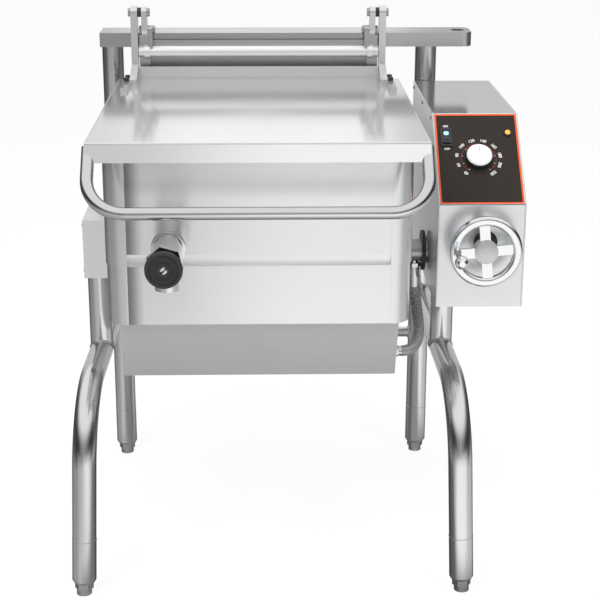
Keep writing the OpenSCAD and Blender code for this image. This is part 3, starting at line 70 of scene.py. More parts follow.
class Finish:
    """The nodes of one material or of the room."""

    def __init__(self, owner):
        owner.use_nodes = True
        self.owner = owner
        self.tree = owner.node_tree
        self.shader = self.tree.nodes.get("Principled BSDF")

    def feed(self, socket, value):
        if isinstance(value, Value):
            self.tree.links.new(value.socket, socket)
        else:
            socket.default_value = value

    def node(self, kind, settings, inputs, output=0):
        """One node of a type, with its settings, and the values or links of its sockets."""
        new = self.tree.nodes.new(kind)
        for key, value in settings.items():
            setattr(new, key, value)
        pairs = inputs.items() if isinstance(inputs, dict) else enumerate(inputs)
        for key, value in pairs:
            self.feed(new.inputs[key], value)
        return Value(self, new.outputs[output])

    def set(self, **values):
        """Feeds the shader's sockets by name."""
        for key, value in values.items():
            self.feed(self.shader.inputs[key.replace("_", " ")], value)

    def place(self):
        """The spot on the piece, in metres."""
        return self.node("ShaderNodeTexCoord", {}, {}, "Object")

    def noise(self, scale, detail=2.0, stretch=(1, 1, 1), turn=(0, 0, 0)):
        """Noise of a scale in waves per metre, squeezed by a factor along each axis."""
        mapping = {"Vector": self.place(), "Scale": stretch, "Rotation": turn}
        where = self.node("ShaderNodeMapping", {}, mapping)
        return self.node("ShaderNodeTexNoise", {}, {"Vector": where, "Scale": scale, "Detail": detail})

    def between(self, share, low, high):
        """The colour that is a share of the way from one to the other."""
        return self.node("ShaderNodeMix", {"data_type": "RGBA"}, {0: share, 6: (*low, 1), 7: (*high, 1)}, 2)

    def step(self, value, low, high):
        """0 below one value, 1 above the other, and smooth between."""
        kind = {"interpolation_type": "SMOOTHSTEP"}
        return self.node("ShaderNodeMapRange", kind, {"Value": value, "From Min": low, "From Max": high})

    def bumps(self, height, depth, strength=1.0):
        """Relief of a height, where a height of 1 stands for the depth in metres."""
        relief = {"Height": height, "Distance": depth, "Strength": strength}
        self.set(Normal=self.node("ShaderNodeBump", {}, relief))

    def parts(self, vector, *axes):
        """Some of the three numbers of a vector."""
        return [self.node("ShaderNodeSeparateXYZ", {}, [vector], axis) for axis in axes]


shift = np.array([-49.603885, 51.2, 0])


def metres(points):
    """Millimetres from the stand's middle to metres from the model's origin."""
    return (np.asarray(points, float) + shift) / 1000


camera = bpy.data.objects.new("camera", bpy.data.cameras.new("camera"))
bpy.context.scene.collection.objects.link(camera)
bpy.context.scene.camera = camera
camera_place = metres([-14.563, -3209.329, 1581.552])
camera_yaw, camera_pitch, camera_roll = 0.0248, 0.3154, 0.002
right = np.array([np.cos(camera_yaw), -np.sin(camera_yaw), 0])
ahead = np.array([np.sin(camera_yaw) * np.cos(camera_pitch), np.cos(camera_yaw) * np.cos(camera_pitch),
                  -np.sin(camera_pitch)])
up = np.cross(right, ahead)
level = right * np.cos(camera_roll) + up * np.sin(camera_roll)
upright = up * np.cos(camera_roll) - right * np.sin(camera_roll)
turn = np.eye(4)
turn[:3] = np.stack([level, upright, -ahead, camera_place], axis=1)
camera.matrix_world = Matrix(turn.tolist())
film_mm, focal_px, photo_px = 36, 1484.41, 600
camera.data.lens = film_mm * focal_px / photo_px
camera.data.clip_end = 200

bpy.context.scene.view_settings.view_transform = "Standard"

world = bpy.data.worlds.new("studio")
bpy.context.scene.world = world
room = Finish(world)
ray = room.node("ShaderNodeLightPath", {}, {}, "Is Camera Ray")
glossy = room.node("ShaderNodeLightPath", {}, {}, "Is Glossy Ray")
way = room.node("ShaderNodeTexCoord", {}, {}, "Generated")
along_x, along_y, along_z = room.parts(way, 0, 1, 2)

# The room's tone by direction. Mirrors see it, and matt surfaces see one even tone.
front_tone, behind_tone, overhead_tone, matt_tone = 0.42, 0.98, 0.95, 0.5
tone = front_tone + (behind_tone - front_tone) * room.step(along_y, -0.1, 0.35)
at_sides = room.step(along_x.sum("ABSOLUTE"), 0.35, 0.8)
right_of_middle = room.step(along_x, 0.07, 0.11)
left_of_middle = room.step(along_x, -0.04, -0.15)
tone = tone * (1 - 0.85 * at_sides) * (1 - 0.45 * right_of_middle) * (1 - 0.4 * left_of_middle)
tone = tone + (overhead_tone - tone) * room.step(along_z, 0.22, 0.65)
strength = ray + (1 - ray) * (tone * glossy + matt_tone * (1 - glossy))
background = room.tree.nodes["Background"]
background.inputs["Color"].default_value = (1, 1, 1, 1)
room.feed(background.inputs["Strength"], strength)

floor_mesh = bpy.data.meshes.new("floor")
floor_half = 60
floor_corners = [(x * floor_half, y * floor_half, 0) for x, y in ((-1, -1), (1, -1), (1, 1), (-1, 1))]
floor_mesh.from_pydata(floor_corners, [], [(0, 1, 2, 3)])
floor = bpy.data.objects.new("floor", floor_mesh)
bpy.context.scene.collection.objects.link(floor)
paper = Finish(bpy.data.materials.new("studio_floor"))
floor_mesh.materials.append(paper.owner)
seen = paper.node("ShaderNodeLightPath", {}, {}, "Is Camera Ray")
mirrored = paper.node("ShaderNodeLightPath", {}, {}, "Is Glossy Ray")
came_from = paper.node("ShaderNodeNewGeometry", {}, {}, "Incoming")
from_x, from_y, from_z = paper.parts(came_from, 0, 1, 2)
spot_x, spot_y = paper.parts(paper.place(), 0, 1)

# The floor's tone by the way that a mirrored ray comes down on it: painted light and shade, since mirrors see
# it as emission. Seen from in front it's bright, a little dimmer far off, straight down and on the left. It
# is dim from the sides, dark from behind, carries a painted shadow beneath the machine, and is bright again
# where a side sheet mirrors it at a low angle.
far_tone, near_tone = 0.55, 1.0
before_tone = far_tone + (near_tone - far_tone) * paper.step(from_z, 0.12, 0.22)
straight_down, on_left = paper.step(from_z, 0.5, 1.0), paper.step(spot_x, 0.1, -0.85)
before_tone = before_tone * (1 - 0.35 * straight_down) * (1 - 0.5 * on_left)
from_left = paper.step(from_x, 0.2, -0.9) * paper.step(from_z, 0.1, 0.3)
aside_tone = 0.03 + 0.34 * paper.step(from_z, 0.08, 0.45) + 0.26 * from_left
before = paper.step(from_y, 0.25, 0.85)
past = 0.25 + 0.75 * paper.step(from_y, -0.8, -0.1)
off_middle = spot_x.sum("ABSOLUTE").sum("MAXIMUM", spot_y.sum("ABSOLUTE"))
# A painted shadow: the floor as mirrors see it is darkened beneath the machine.
painted_shadow_beneath = 1 - paper.step(off_middle, 0.34, 0.60)
mirror_tone = (aside_tone + (before_tone - aside_tone) * before) * past * (1 - 0.72 * painted_shadow_beneath)
mirror_tone = mirror_tone + 0.5 * paper.step(from_y, -0.86, -0.94)
matt = paper.node("ShaderNodeBsdfDiffuse", {}, {"Color": (0.82, 0.82, 0.82, 1)})
floor_glow, white_share = 1.12, 0.78
white = paper.node("ShaderNodeEmission", {}, {"Color": (1, 1, 1, 1), "Strength": floor_glow})
black = paper.node("ShaderNodeEmission", {}, {"Color": (0.03, 0.03, 0.03, 1), "Strength": 1.0})
grey = paper.node("ShaderNodeMixShader", {}, {0: mirror_tone, 1: black, 2: white})
lit = paper.node("ShaderNodeMixShader", {}, {0: white_share * seen, 1: matt, 2: white})
shown = paper.node("ShaderNodeMixShader", {}, {0: mirrored, 1: lit, 2: grey})
paper.feed(paper.tree.nodes["Material Output"].inputs["Surface"], shown)


def softbox(name, place, aim, size, power):
    """A square area lamp at one point that faces another. Metal doesn't mirror it."""
    lamp = bpy.data.lights.new(name, "AREA")
    lamp.shape = "SQUARE"
    lamp.size = size
    lamp.energy = power
    holder = bpy.data.objects.new(name, lamp)
    bpy.context.scene.collection.objects.link(holder)
    back = np.array(place, float) - np.array(aim, float)
    back /= np.linalg.norm(back)
    across = np.cross([0, 1, 0.01], back)
    across /= np.linalg.norm(across)
    frame_of = np.eye(4)
    frame_of[:3] = np.stack([across, np.cross(back, across), back, place], axis=1)
    holder.matrix_world = Matrix(frame_of.tolist())
    holder.visible_glossy = False


softbox("key_lamp", (-1.6, -2.4, 3.2), (0, 0, 0.7), 1.8, 70)
softbox("fill_lamp", (2.2, -2.2, 2.4), (0, 0, 0.6), 1.6, 34)
softbox("top_lamp", (0.1, 0.3, 3.4), (0, 0, 0.6), 2.2, 28)

# Stand tubes
# The bent front legs, the rear legs, the uprights and the cross tube are drawn stainless tube with a satin
# finish polished along the tube. They are welded to each other with a rippled bead.


def dress(finish, *names):
    """Gives CAD nodes a finish."""
    for name in names:
        for entry in nodes[name].material_slots:
            entry.material = finish.owner


def steel(name, colour, roughness, grain, cloud=5.0, smear=0.0, smear_turn=0.0, depth=0.00001, mirror=1.0):
    """Stainless steel. Fine noise drawn out along the polish, and slow clouding, move its tone and its gloss.
    A blasted or worn sheet mirrors less than the whole of what it throws back."""
    finish = Finish(bpy.data.materials.new(name))
    streak = finish.noise(1.0, 3.0, grain)
    slow = finish.noise(cloud, 2.0)
    dull_colour = [c * 0.90 for c in colour]
    finish.set(
        Base_Color=finish.between(streak * 0.7 + slow * 0.3, dull_colour, colour),
        Roughness=(streak - 0.5) * 0.06 + (slow - 0.5) * 0.04 + roughness,
        Metallic=mirror, Anisotropic=smear, Anisotropic_Rotation=smear_turn)
    finish.bumps(streak, depth)
    return finish


sharp_angle = np.radians(40)


def solid(name, points, faces, finish, body, smooth=True):
    """One piece from points in metres and faces. Doubled points are merged and faces turned outwards."""
    mesh = bpy.data.meshes.new(name)
    mesh.from_pydata(np.asarray(points, float).reshape(-1, 3).tolist(), [], np.asarray(faces).tolist())
    work = bmesh.new()
    work.from_mesh(mesh)
    bmesh.ops.remove_doubles(work, verts=work.verts, dist=1e-6)
    bmesh.ops.dissolve_degenerate(work, edges=work.edges, dist=1e-7)
    bmesh.ops.recalc_face_normals(work, faces=work.faces)
    work.to_mesh(mesh)
    work.free()
    mesh.polygons.foreach_set("use_smooth", np.full(len(mesh.polygons), smooth))
    mesh.materials.append(finish.owner)
    piece = bpy.data.objects.new(name, mesh)
    bpy.context.scene.collection.objects.link(piece)
    if smooth:
        mesh.set_sharp_from_angle(angle=sharp_angle)
    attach(piece, body)
    return piece


def net(rows, columns, ring=False, first=0):
    """Faces of a grid of points that closes across its columns, and across its rows where it is a ring."""
    i, j = np.meshgrid(np.arange(rows if ring else rows - 1), np.arange(columns), indexing="ij")
    k, m = (i + 1) % rows, (j + 1) % columns
    corners = [i * columns + j, i * columns + m, k * columns + m, k * columns + j]
    return first + np.stack(corners, -1).reshape(-1, 4)


def joined(grids, ring=False):
    """Points and faces of several equal grids as one pair of arrays."""
    grids = np.asarray(grids)
    count, rows, columns = grids.shape[:3]
    faces = [net(rows, columns, ring, k * rows * columns) for k in range(count)]
    return grids.reshape(-1, 3), np.concatenate(faces)


def sleeve_round(path, radius, sides=12, closed=True):
    """A tube round a path: a circle of the radius at each point, square to the path's direction there."""
    path = np.asarray(path, float)
    if closed:
        along = np.roll(path, -1, 0) - np.roll(path, 1, 0)
    else:
        along = np.gradient(path, axis=0)
    along /= np.linalg.norm(along, axis=1)[:, None]
    middle = path.mean(0)
    out = path - middle
    out -= (out * along).sum(1)[:, None] * along
    out /= np.linalg.norm(out, axis=1)[:, None] + 1e-12
    third = np.cross(along, out)
    angle = np.linspace(0, 2 * np.pi, sides, endpoint=False)
    radius = np.broadcast_to(radius, len(path))[:, None, None]
    around = np.cos(angle)[:, None] * out[:, None] + np.sin(angle)[:, None] * third[:, None]
    return path[:, None] + radius * around


tube_r, cross_r = 25.4, 12.7
leg_x, leg_y, run_z, cross_z = 376, 372, 436, 326
upright_x, upright_y, upper_weld_z = 383.2, -40, 624
tube_steel = steel("satin_tube_steel", (0.80, 0.80, 0.81), 0.20, (400, 400, 5), cloud=5.0, depth=0.000002)
dress(tube_steel, "left_front_leg", "right_front_leg", "left_rear_leg", "right_rear_leg", "uprights")
cross_steel = steel("cross_tube_steel", (0.72, 0.72, 0.73), 0.22, (7, 260, 260), cloud=5.0, depth=0.000004)
dress(cross_steel, "cross_tube")
sleeve_steel = steel("sleeve_steel", (0.78, 0.78, 0.79), 0.18, (400, 400, 8), cloud=8.0, depth=0.000004)
dress(sleeve_steel, "leg_sleeves")

weld_steel = steel("weld_bead_steel", (0.72, 0.71, 0.70), 0.34, (500, 500, 500), cloud=60.0, depth=0.0001)
bead_r, ripple_share, ripple_count = 2.4, 0.22, 24
lap = np.linspace(0, 2 * np.pi, 144, endpoint=False)
# A weld's radius swells and sinks with the sine of the angle round it.
ripple = bead_r * (1 + ripple_share * np.abs(np.sin(lap * ripple_count)))
cosine, sine = np.cos(lap), np.sin(lap)
beads = []
for hand in (-1, 1):
    around_upright = np.stack([hand * upright_x + tube_r * cosine, upright_y + tube_r * sine], 1)
    on_run = run_z + tube_r * np.abs(sine)
    beads.append(np.concatenate([around_upright, on_run[:, None]], 1))
    beads.append(np.stack([hand * leg_x + tube_r * cosine, leg_y - tube_r * np.abs(sine),
                           run_z + tube_r * sine], 1))
    beads.append(np.stack([hand * (leg_x - np.sqrt(tube_r ** 2 - (cross_r * cosine) ** 2)),
                           leg_y + cross_r * cosine, cross_z + cross_r * sine], 1))
    beads.append(np.concatenate([around_upright, np.full((len(lap), 1), float(upper_weld_z))], 1))
points, faces = joined([metres(sleeve_round(bead, ripple)) for bead in beads], ring=True)
solid("tube_welds", points, faces, weld_steel, "stand")

# A fine bright seam runs round the top of each leg's sleeve. The CAD sleeves' own points give its place.
seam_ring_r, seam_r = 0.0257, 0.0008
sleeve_node = nodes["leg_sleeves"]
sleeve_spots = np.array([sleeve_node.matrix_world @ vertex.co for vertex in sleeve_node.data.vertices])
seams = []
for hand in (-1, 1):
    for end in (-1, 1):
        spots = sleeve_spots[(sleeve_spots[:, 0] * hand > 0) & (sleeve_spots[:, 1] * end > 0)]
        spots = np.unique(spots.round(6), axis=0)
        middle = (spots.min(0) + spots.max(0)) / 2
        axis = np.linalg.svd(spots - middle)[2][0]
        axis *= np.sign(axis[2])
        side = np.cross([0, 1, 0], axis)
        side /= np.linalg.norm(side)
        ring = np.cos(lap)[:, None] * side + np.sin(lap)[:, None] * np.cross(axis, side)
        sleeve_top = middle + ((spots - middle) @ axis).max() * axis
        seams.append(sleeve_round(sleeve_top + seam_ring_r * ring, seam_r))
points, faces = joined(seams, ring=True)
solid("sleeve_seams", points, faces, weld_steel, "stand")

# Feet
# Hexagon feet of machined steel screw into the sleeves and are locked at their height.

foot_steel = steel("foot_steel", (0.62, 0.62, 0.63), 0.14, (90, 90, 400), cloud=60.0, depth=0.0001)
dress(foot_steel, "levelling_feet")

# Rear beam
# A folded channel of 2 mm sheet, brushed along its length. The water tap's hole is at its right end.

beam_steel = steel("beam_sheet", (0.60, 0.60, 0.61), 0.22, (4, 900, 900),
                   cloud=4.0, smear=0.5, smear_turn=0.25)
dress(beam_steel, "rear_beam")

# Bearings and their cover
# Cast blocks with bronze bushes carry the trunnions. A folded box covers the left one. Four button screws
# hold it.

cast = Finish(bpy.data.materials.new("cast_block"))
grit = cast.noise(420, 4.0)
cast.set(Base_Color=cast.between(grit, (0.16, 0.16, 0.165), (0.30, 0.30, 0.31)), Roughness=grit * 0.25 + 0.45,
         Metallic=0.8)
cast.bumps(grit, 0.0006)
dress(cast, "bearing_blocks", "gear_bracket", "console_saddle")
bronze = steel("bush_bronze", (0.72, 0.47, 0.22), 0.30, (300, 300, 300), cloud=30.0)
dress(bronze, "bearing_bushes", "worm_bushes", "worm_wheel")
side_sheet = steel("side_sheet", (0.84, 0.85, 0.86), 0.34, (900, 4, 900),
                   cloud=4.0, smear=0.5, smear_turn=0.25, mirror=0.55)
dress(side_sheet, "left_bearing_cover")


def turned(profile, place, axis, sides=24):
    """A turned shape: the profile's radii and heights carried round an axis through a point, both in mm."""
    axis = np.array(axis, float) / np.linalg.norm(axis)
    across = np.cross(axis, [0.31, 0.95, 0.11])
    across /= np.linalg.norm(across)
    third = np.cross(axis, across)
    angle = np.linspace(0, 2 * np.pi, sides, endpoint=False)
    ring = np.cos(angle)[:, None] * across + np.sin(angle)[:, None] * third
    radius, height = np.array(profile, float).T
    return np.array(place, float) + radius[:, None, None] * ring + height[:, None, None] * axis


button_head = [(0, -0.4), (4.6, -0.4), (5, 0.2), (4.6, 1.3), (3.6, 2.1), (2.2, 2.5), (2.0, 2.4), (2.0, 1.0),
               (0, 1.0)]
screw_in = 14
screw_steel = steel("screw_steel", (0.62, 0.62, 0.63), 0.25, (300, 300, 300), cloud=60.0)
cover_low, cover_high = (np.array(corner) * 1000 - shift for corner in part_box("left_bearing_cover"))
cover_screws = [turned(button_head, (cover_low[0], y, z), (-1, 0, 0))
                for y in (cover_low[1] + screw_in, cover_high[1] - screw_in)
                for z in (cover_low[2] + screw_in, cover_high[2] - screw_in)]
points, faces = joined(metres(cover_screws))
solid("cover_screws", points, faces, screw_steel, "stand")

# Console
# A folded box of brushed sheet with an inner cover, a base plate and a slanting face. Button screws hold the
# inner cover, and everything electrical sits inside.

console_sheet = steel("console_sheet", (0.86, 0.87, 0.88), 0.20, (5, 800, 800),
                      cloud=3.0, smear=0.4, smear_turn=0.25, mirror=0.85)
front_rough, top_rough = 0.30, 0.10
console_z, = console_sheet.parts(console_sheet.place(), 2)
on_top = console_sheet.step(console_z, 0.972, 0.975)
console_sheet.set(Roughness=front_rough - (front_rough - top_rough) * on_top)
dress(console_sheet, "console_housing", "console_base_plate")
dress(side_sheet, "console_side_cover")
console_left, console_right, console_low, console_top, console_back = 346, 528, 595, 975.5, 343
panel_x, kink_y, kink_z = 437, -238.5, 815
panel_rise, panel_run = 160.5, 169.5
side_screw_spots = [(-222, 607), (50, 607), (325, 607), (-48, 963), (130, 963), (325, 963), (325, 785)]
side_screws = [turned(button_head, (console_left, y, z), (-1, 0, 0)) for y, z in side_screw_spots]
points, faces = joined(metres(side_screws))
solid("side_cover_screws", points, faces, screw_steel, "stand")


def fold(path, radius):
    """A fold's rounded edge: a closed round bar along corner points in mm, with its corners eased."""
    path = np.array(path, float)
    dense = []
    for k in range(len(path) - 1):
        gap = path[k + 1] - path[k]
        span = np.linalg.norm(gap)
        ease = min(radius, span / 4)
        steps = np.array([0, ease / 2, ease, span - ease, span - ease / 2])
        dense.append(path[k] + steps[:, None] / span * gap)
    dense = np.concatenate(dense + [path[-1:]])
    direction = np.gradient(dense, axis=0)
    direction /= np.linalg.norm(direction, axis=1)[:, None]
    tip = 0.02
    dense = np.concatenate([dense[:1] - direction[:1] * tip, dense, dense[-1:] + direction[-1:] * tip])
    size = np.full(len(dense), radius)
    size[[0, -1]] = 0
    return sleeve_round(dense, size, closed=False)


def folds(name, paths, radius, finish, body):
    """Several folds' rounded edges as one piece."""
    points, faces, first = [], [], 0
    for path in paths:
        grid = fold(path, radius)
        faces.append(net(grid.shape[0], grid.shape[1], first=first))
        points.append(metres(grid).reshape(-1, 3))
        first += grid.shape[0] * grid.shape[1]
    return solid(name, np.concatenate(points), np.concatenate(faces), finish, body)


def console_side(x):
    """The corners of one side's edge, from the top's rear round the front to the bottom's rear."""
    kink_back = kink_y + panel_run + fold_in
    return [(x, console_back - fold_in, console_top - fold_in), (x, kink_back, console_top - fold_in),
            (x, kink_y + fold_in, kink_z), (x, kink_y + fold_in, console_low + fold_in),
            (x, console_back - fold_in, console_low + fold_in)]


fold_in, fold_r = 1.35, 2.0
left_side, right_side = console_side(console_left + fold_in), console_side(console_right - fold_in)
bars_across = [[left_side[k], right_side[k]] for k in (3, 1, 2, 0)]
bars_up = [[side[4], side[0]] for side in (left_side, right_side)]
folds("console_folds", [right_side, left_side, *bars_across, *bars_up], fold_r, console_sheet, "stand")

grey_plastic = Finish(bpy.data.materials.new("grey_plastic"))
grain = grey_plastic.noise(700, 3.0)
grey_plastic.set(Base_Color=grey_plastic.between(grain, (0.42, 0.43, 0.44), (0.50, 0.51, 0.52)),
                 Roughness=grain * 0.15 + 0.45)
grey_plastic.bumps(grain, 0.0002)
dress(grey_plastic, "thermostat_body", "contactor", "terminal_block")

# Control panel
# A near-black laminate with a thin orange line round it and a pale blue edge. White numbers and a dark red
# arc are printed round the thermostat's knob, and ON and OFF at the switch.

laminate = Finish(bpy.data.materials.new("panel_laminate"))
orange_peel = laminate.noise(1600, 2.0)
mottle = laminate.noise(40, 2.0)
laminate.set(Base_Color=laminate.between(mottle, (0.022, 0.016, 0.012), (0.030, 0.023, 0.018)),
             Roughness=orange_peel * 0.12 + 0.45, Specular_IOR_Level=0.25)
laminate.bumps(orange_peel, 0.0001, 0.6)
dress(laminate, "control_panel")

slope = np.arctan2(panel_rise, panel_run)
slope_len = np.hypot(panel_rise, panel_run)
panel_face = 1.5
dial_up, switch_up, lamp_up = slope_len - 117.5, slope_len - 64, slope_len - 53
switch_x, lamp_x = -65, 66


def on_panel(points):
    """Points in mm across, up and off the slanting face, in the stand's place."""
    x, y, z = np.moveaxis(np.asarray(points, float), -1, 0)
    return np.stack([panel_x + x, kink_y + y * np.cos(slope) - z * np.sin(slope),
                     kink_z + y * np.sin(slope) + z * np.cos(slope)], -1)


def printed(name, colour):
    """Screen ink: nearly matt, with a little unevenness."""
    ink = Finish(bpy.data.materials.new(name))
    uneven = ink.noise(900, 2.0)
    ink.set(Base_Color=ink.between(uneven, [c * 0.9 for c in colour], colour), Roughness=uneven * 0.2 + 0.4)
    return ink


def rounded(half_w, low, high, r, count=12):
    """An upright rectangle's outline with round corners, as points in mm."""
    quarter = np.linspace(0, np.pi / 2, count)
    centres = [(half_w - r, high - r), (-half_w + r, high - r), (-half_w + r, low + r), (half_w - r, low + r)]
    angles = [quarter + k * np.pi / 2 for k in range(4)]
    return np.concatenate([np.stack([x + r * np.cos(angle), y + r * np.sin(angle)], 1)
                           for (x, y), angle in zip(centres, angles)])


def frame_line(outer, inner, low, high):
    """A flat frame between two outlines of as many points, with its section's four corners as columns."""
    corners = [(outer, low), (outer, high), (inner, high), (inner, low)]
    return np.stack([np.concatenate([line, np.full((len(line), 1), z)], 1) for line, z in corners], 1)


plate_half, edge_in = 91, 2
panel_half, panel_low, panel_high = plate_half - edge_in, edge_in, slope_len - edge_in
ink_low, ink_top = panel_face - 0.2, panel_face + 0.12
edges = [("panel_edge_line", 0.1, 1.1, (0.42, 0.66, 0.70)),
         ("panel_orange_line", 1.1, 5.0, (0.90, 0.10, 0.005))]
for name, near, far, colour in edges:
    outer = rounded(panel_half - near, panel_low + near, panel_high - near, 3.0)
    inner = rounded(panel_half - far, panel_low + far, panel_high - far, 2.0)
    grid = metres(on_panel(frame_line(outer, inner, ink_low, ink_top)))
    points, faces = joined([grid], ring=True)
    solid(name, points, faces, printed(name + "_ink", colour), "stand", smooth=False)

dial_start, dial_end = np.radians(232), np.radians(-52)
arc_outer, arc_inner, arc_points = 37.4, 36.0, 90
arc_angle = np.linspace(dial_end, dial_start, arc_points)
arc = [np.stack([r * np.cos(arc_angle), dial_up + r * np.sin(arc_angle), np.full(arc_points, z)], 1)
       for r, z in ((arc_outer, ink_low), (arc_outer, ink_top), (arc_inner, ink_top), (arc_inner, ink_low))]
arc = np.stack(arc, 1)
arc_ends = [arc[[end]].mean(1, keepdims=True).repeat(4, 1) for end in (0, -1)]
arc = np.concatenate([arc_ends[0], arc, arc_ends[1]])
points, faces = joined([metres(on_panel(arc))])
dark_red_ink = printed("dark_red_ink", (0.22, 0.025, 0.012))
solid("dial_arc", points, faces, dark_red_ink, "stand", smooth=False)


print_rise = 0.15


def lettering(words, height, weight):
    """Points and faces of short printed words: each has its text, its middle and its turn on the panel."""
    all_points, all_faces, first = [], [], 0
    for text, x, y, angle in words:
        curve = bpy.data.curves.new("print", "FONT")
        curve.body = text
        curve.size = height
        curve.extrude = print_rise
        curve.offset = weight
        curve.resolution_u = 3
        curve.align_x, curve.align_y = "CENTER", "CENTER"
        holder = bpy.data.objects.new("print", curve)
        bpy.context.scene.collection.objects.link(holder)
        mesh = bpy.data.meshes.new_from_object(holder.evaluated_get(bpy.context.evaluated_depsgraph_get()))
        local = np.zeros(len(mesh.vertices) * 3)
        mesh.vertices.foreach_get("co", local)
        local = local.reshape(-1, 3)
        turned_x = local[:, 0] * np.cos(angle) - local[:, 1] * np.sin(angle)
        turned_y = local[:, 0] * np.sin(angle) + local[:, 1] * np.cos(angle)
        all_points.append(np.stack([x + turned_x, y + turned_y, panel_face + local[:, 2]], 1))
        all_faces += [[first + v for v in polygon.vertices] for polygon in mesh.polygons]
        first += len(local)
        bpy.data.objects.remove(holder)
        bpy.data.curves.remove(curve)
        bpy.data.meshes.remove(mesh)
    return metres(on_panel(np.concatenate(all_points))), all_faces


def print_piece(name, words, height, ink, weight=0.25):
    """Printed words as one thin piece."""
    points, faces = lettering(words, height, weight)
    mesh = bpy.data.meshes.new(name)
    mesh.from_pydata(points.tolist(), [], faces)
    mesh.materials.append(ink.owner)
    piece = bpy.data.objects.new(name, mesh)
    bpy.context.scene.collection.objects.link(piece)
    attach(piece, "stand")


white_ink = printed("white_ink", (0.80, 0.80, 0.78))
number_angles = np.linspace(dial_start, dial_end, 10)
number_r, number_height, word_off, word_height = 46, 9.5, 29, 7.0
numbers = [(str(40 + 20 * k), number_r * np.cos(a), dial_up + number_r * np.sin(a), a - np.pi / 2)
           for k, a in enumerate(number_angles)]
print_piece("dial_numbers", numbers, number_height, white_ink)
words = [("ON", switch_x, switch_up + word_off, 0), ("OFF", switch_x, switch_up - word_off, 0)]
print_piece("switch_words", words, word_height, white_ink)
tick_inner, tick_half = 33.0, 0.5
tick_corners = np.array([(tick_inner, -tick_half), (arc_inner, -tick_half), (arc_inner, tick_half),
                         (tick_inner, tick_half)])
ticks = []
for a in number_angles:
    flat = np.stack([tick_corners[:, 0] * np.cos(a) - tick_corners[:, 1] * np.sin(a),
                     dial_up + tick_corners[:, 0] * np.sin(a) + tick_corners[:, 1] * np.cos(a)], 1)
    centre = flat * 0 + flat.mean(0)
    levels = [np.concatenate([outline, np.full((4, 1), z)], 1)
              for outline, z in ((centre, ink_low), (flat, ink_low), (flat, ink_top), (centre, ink_top))]
    ticks.append(metres(on_panel(np.stack(levels))))
points, faces = joined(ticks)
solid("dial_ticks", points, faces, white_ink, "stand", smooth=False)

# Thermostat knob
# A white moulded cap on a black fluted skirt, with a fine pointer line.

panel_out = np.array([0, -np.sin(slope), np.cos(slope)])
knob_white = Finish(bpy.data.materials.new("knob_plastic"))
off_panel = knob_white.node(
    "ShaderNodeVectorMath", {"operation": "DOT_PRODUCT"},
    {0: knob_white.place(), 1: tuple(panel_out)}, "Value")
base_level = metres(on_panel([0, dial_up, panel_face])) @ panel_out
cap_low, cap_edge = 0.0128, 0.0003
cap = knob_white.step(off_panel, base_level + cap_low, base_level + cap_low + cap_edge)
fine = knob_white.noise(1200, 2.0)
knob_white.set(Base_Color=knob_white.between(cap, (0.02, 0.02, 0.022), (0.88, 0.88, 0.86)),
               Roughness=fine * 0.1 + 0.28)
knob_white.bumps(fine, 0.00006)
dress(knob_white, "thermostat_knob")

black_plastic = Finish(bpy.data.materials.new("black_plastic"))
leather = black_plastic.noise(900, 3.0)
wear = black_plastic.noise(30, 3.0)
black_plastic.set(Base_Color=black_plastic.between(wear, (0.016, 0.016, 0.018), (0.034, 0.034, 0.037)),
                  Roughness=leather * 0.16 + wear * 0.14 + 0.26)
black_plastic.bumps(leather, 0.0001, 0.8)
dress(black_plastic, "switch_bezel", "shaft_grommet", "trunnion_collar", "valve_knob", "hinge_washers",
      "rocker_switch")


def fluted(place, axis, inner, outer, depth, count, low, high, sides):
    """A closed band between two heights. Its outside dips by a depth a number of times round, and a raised
    cosine of the angle gives the dips their shape."""
    axis = np.array(axis, float)
    across = np.cross(axis, [1.0, 0.02, 0.01])
    across /= np.linalg.norm(across)
    third = np.cross(axis, across)
    angle = np.linspace(0, 2 * np.pi, sides, endpoint=False)
    ring = np.cos(angle)[:, None] * across + np.sin(angle)[:, None] * third
    swell = outer - depth * (0.5 - 0.5 * np.cos(count * angle)) ** 1.5
    edge = min(0.8, (high - low) / 4)
    section = [(None, low), (-edge, low), (0, low + edge), (0, high - edge), (-edge, high), (None, high)]
    rings = []
    for step, height in section:
        radius = np.full(sides, float(inner)) if step is None else swell + step
        rings.append(np.array(place) + radius[:, None] * ring + height * axis)
    return np.stack(rings)


skirt_low, skirt_high, flute_depth, flute_count = panel_face + 1.0, 13.6, 0.9, 28
flutes = fluted(on_panel([0, dial_up, 0]), panel_out, inner=26.2, outer=27.9, depth=flute_depth,
                count=flute_count, low=skirt_low, high=skirt_high, sides=12 * flute_count)
points, faces = joined([metres(flutes)], ring=True)
solid("knob_skirt", points, faces, black_plastic, "thermostat_knob")


def pad(centre, across, along, out, half_a, half_b, height, power=4.0, count=32, rows=7):
    """A cushion-topped pad: a superellipse of two half widths, from a flat foot up over a soft edge."""
    angle = np.linspace(0, 2 * np.pi, count, endpoint=False)
    c, s = np.cos(angle), np.sin(angle)
    rim = (np.abs(c) ** power + np.abs(s) ** power) ** (-1 / power)
    outline = rim[:, None] * (half_a * c[:, None] * np.array(across) + half_b * s[:, None] * np.array(along))
    bend = np.linspace(0, np.pi / 2, rows)
    size = np.concatenate([[0, 1], np.cos(bend) ** 0.4])
    lift = np.concatenate([[-0.3, -0.3], height * np.sin(bend)])
    return np.array(centre) + size[:, None, None] * outline + lift[:, None, None] * np.array(out)


grey_ink = printed("pointer_ink", (0.30, 0.30, 0.30))
panel_along = np.array([0, np.cos(slope), np.sin(slope)])
pointer_up, cap_top = 14, 19.0
pointer = pad(on_panel([0, dial_up + pointer_up, cap_top]), (1, 0, 0), panel_along, panel_out, half_a=0.7,
              half_b=8, height=0.35)
points, faces = joined([metres(pointer)])
solid("knob_pointer", points, faces, grey_ink, "thermostat_knob")

# Switch and lamp
# A black rocker with a lit blue window in its upper half, and an amber lamp in a turned bezel.

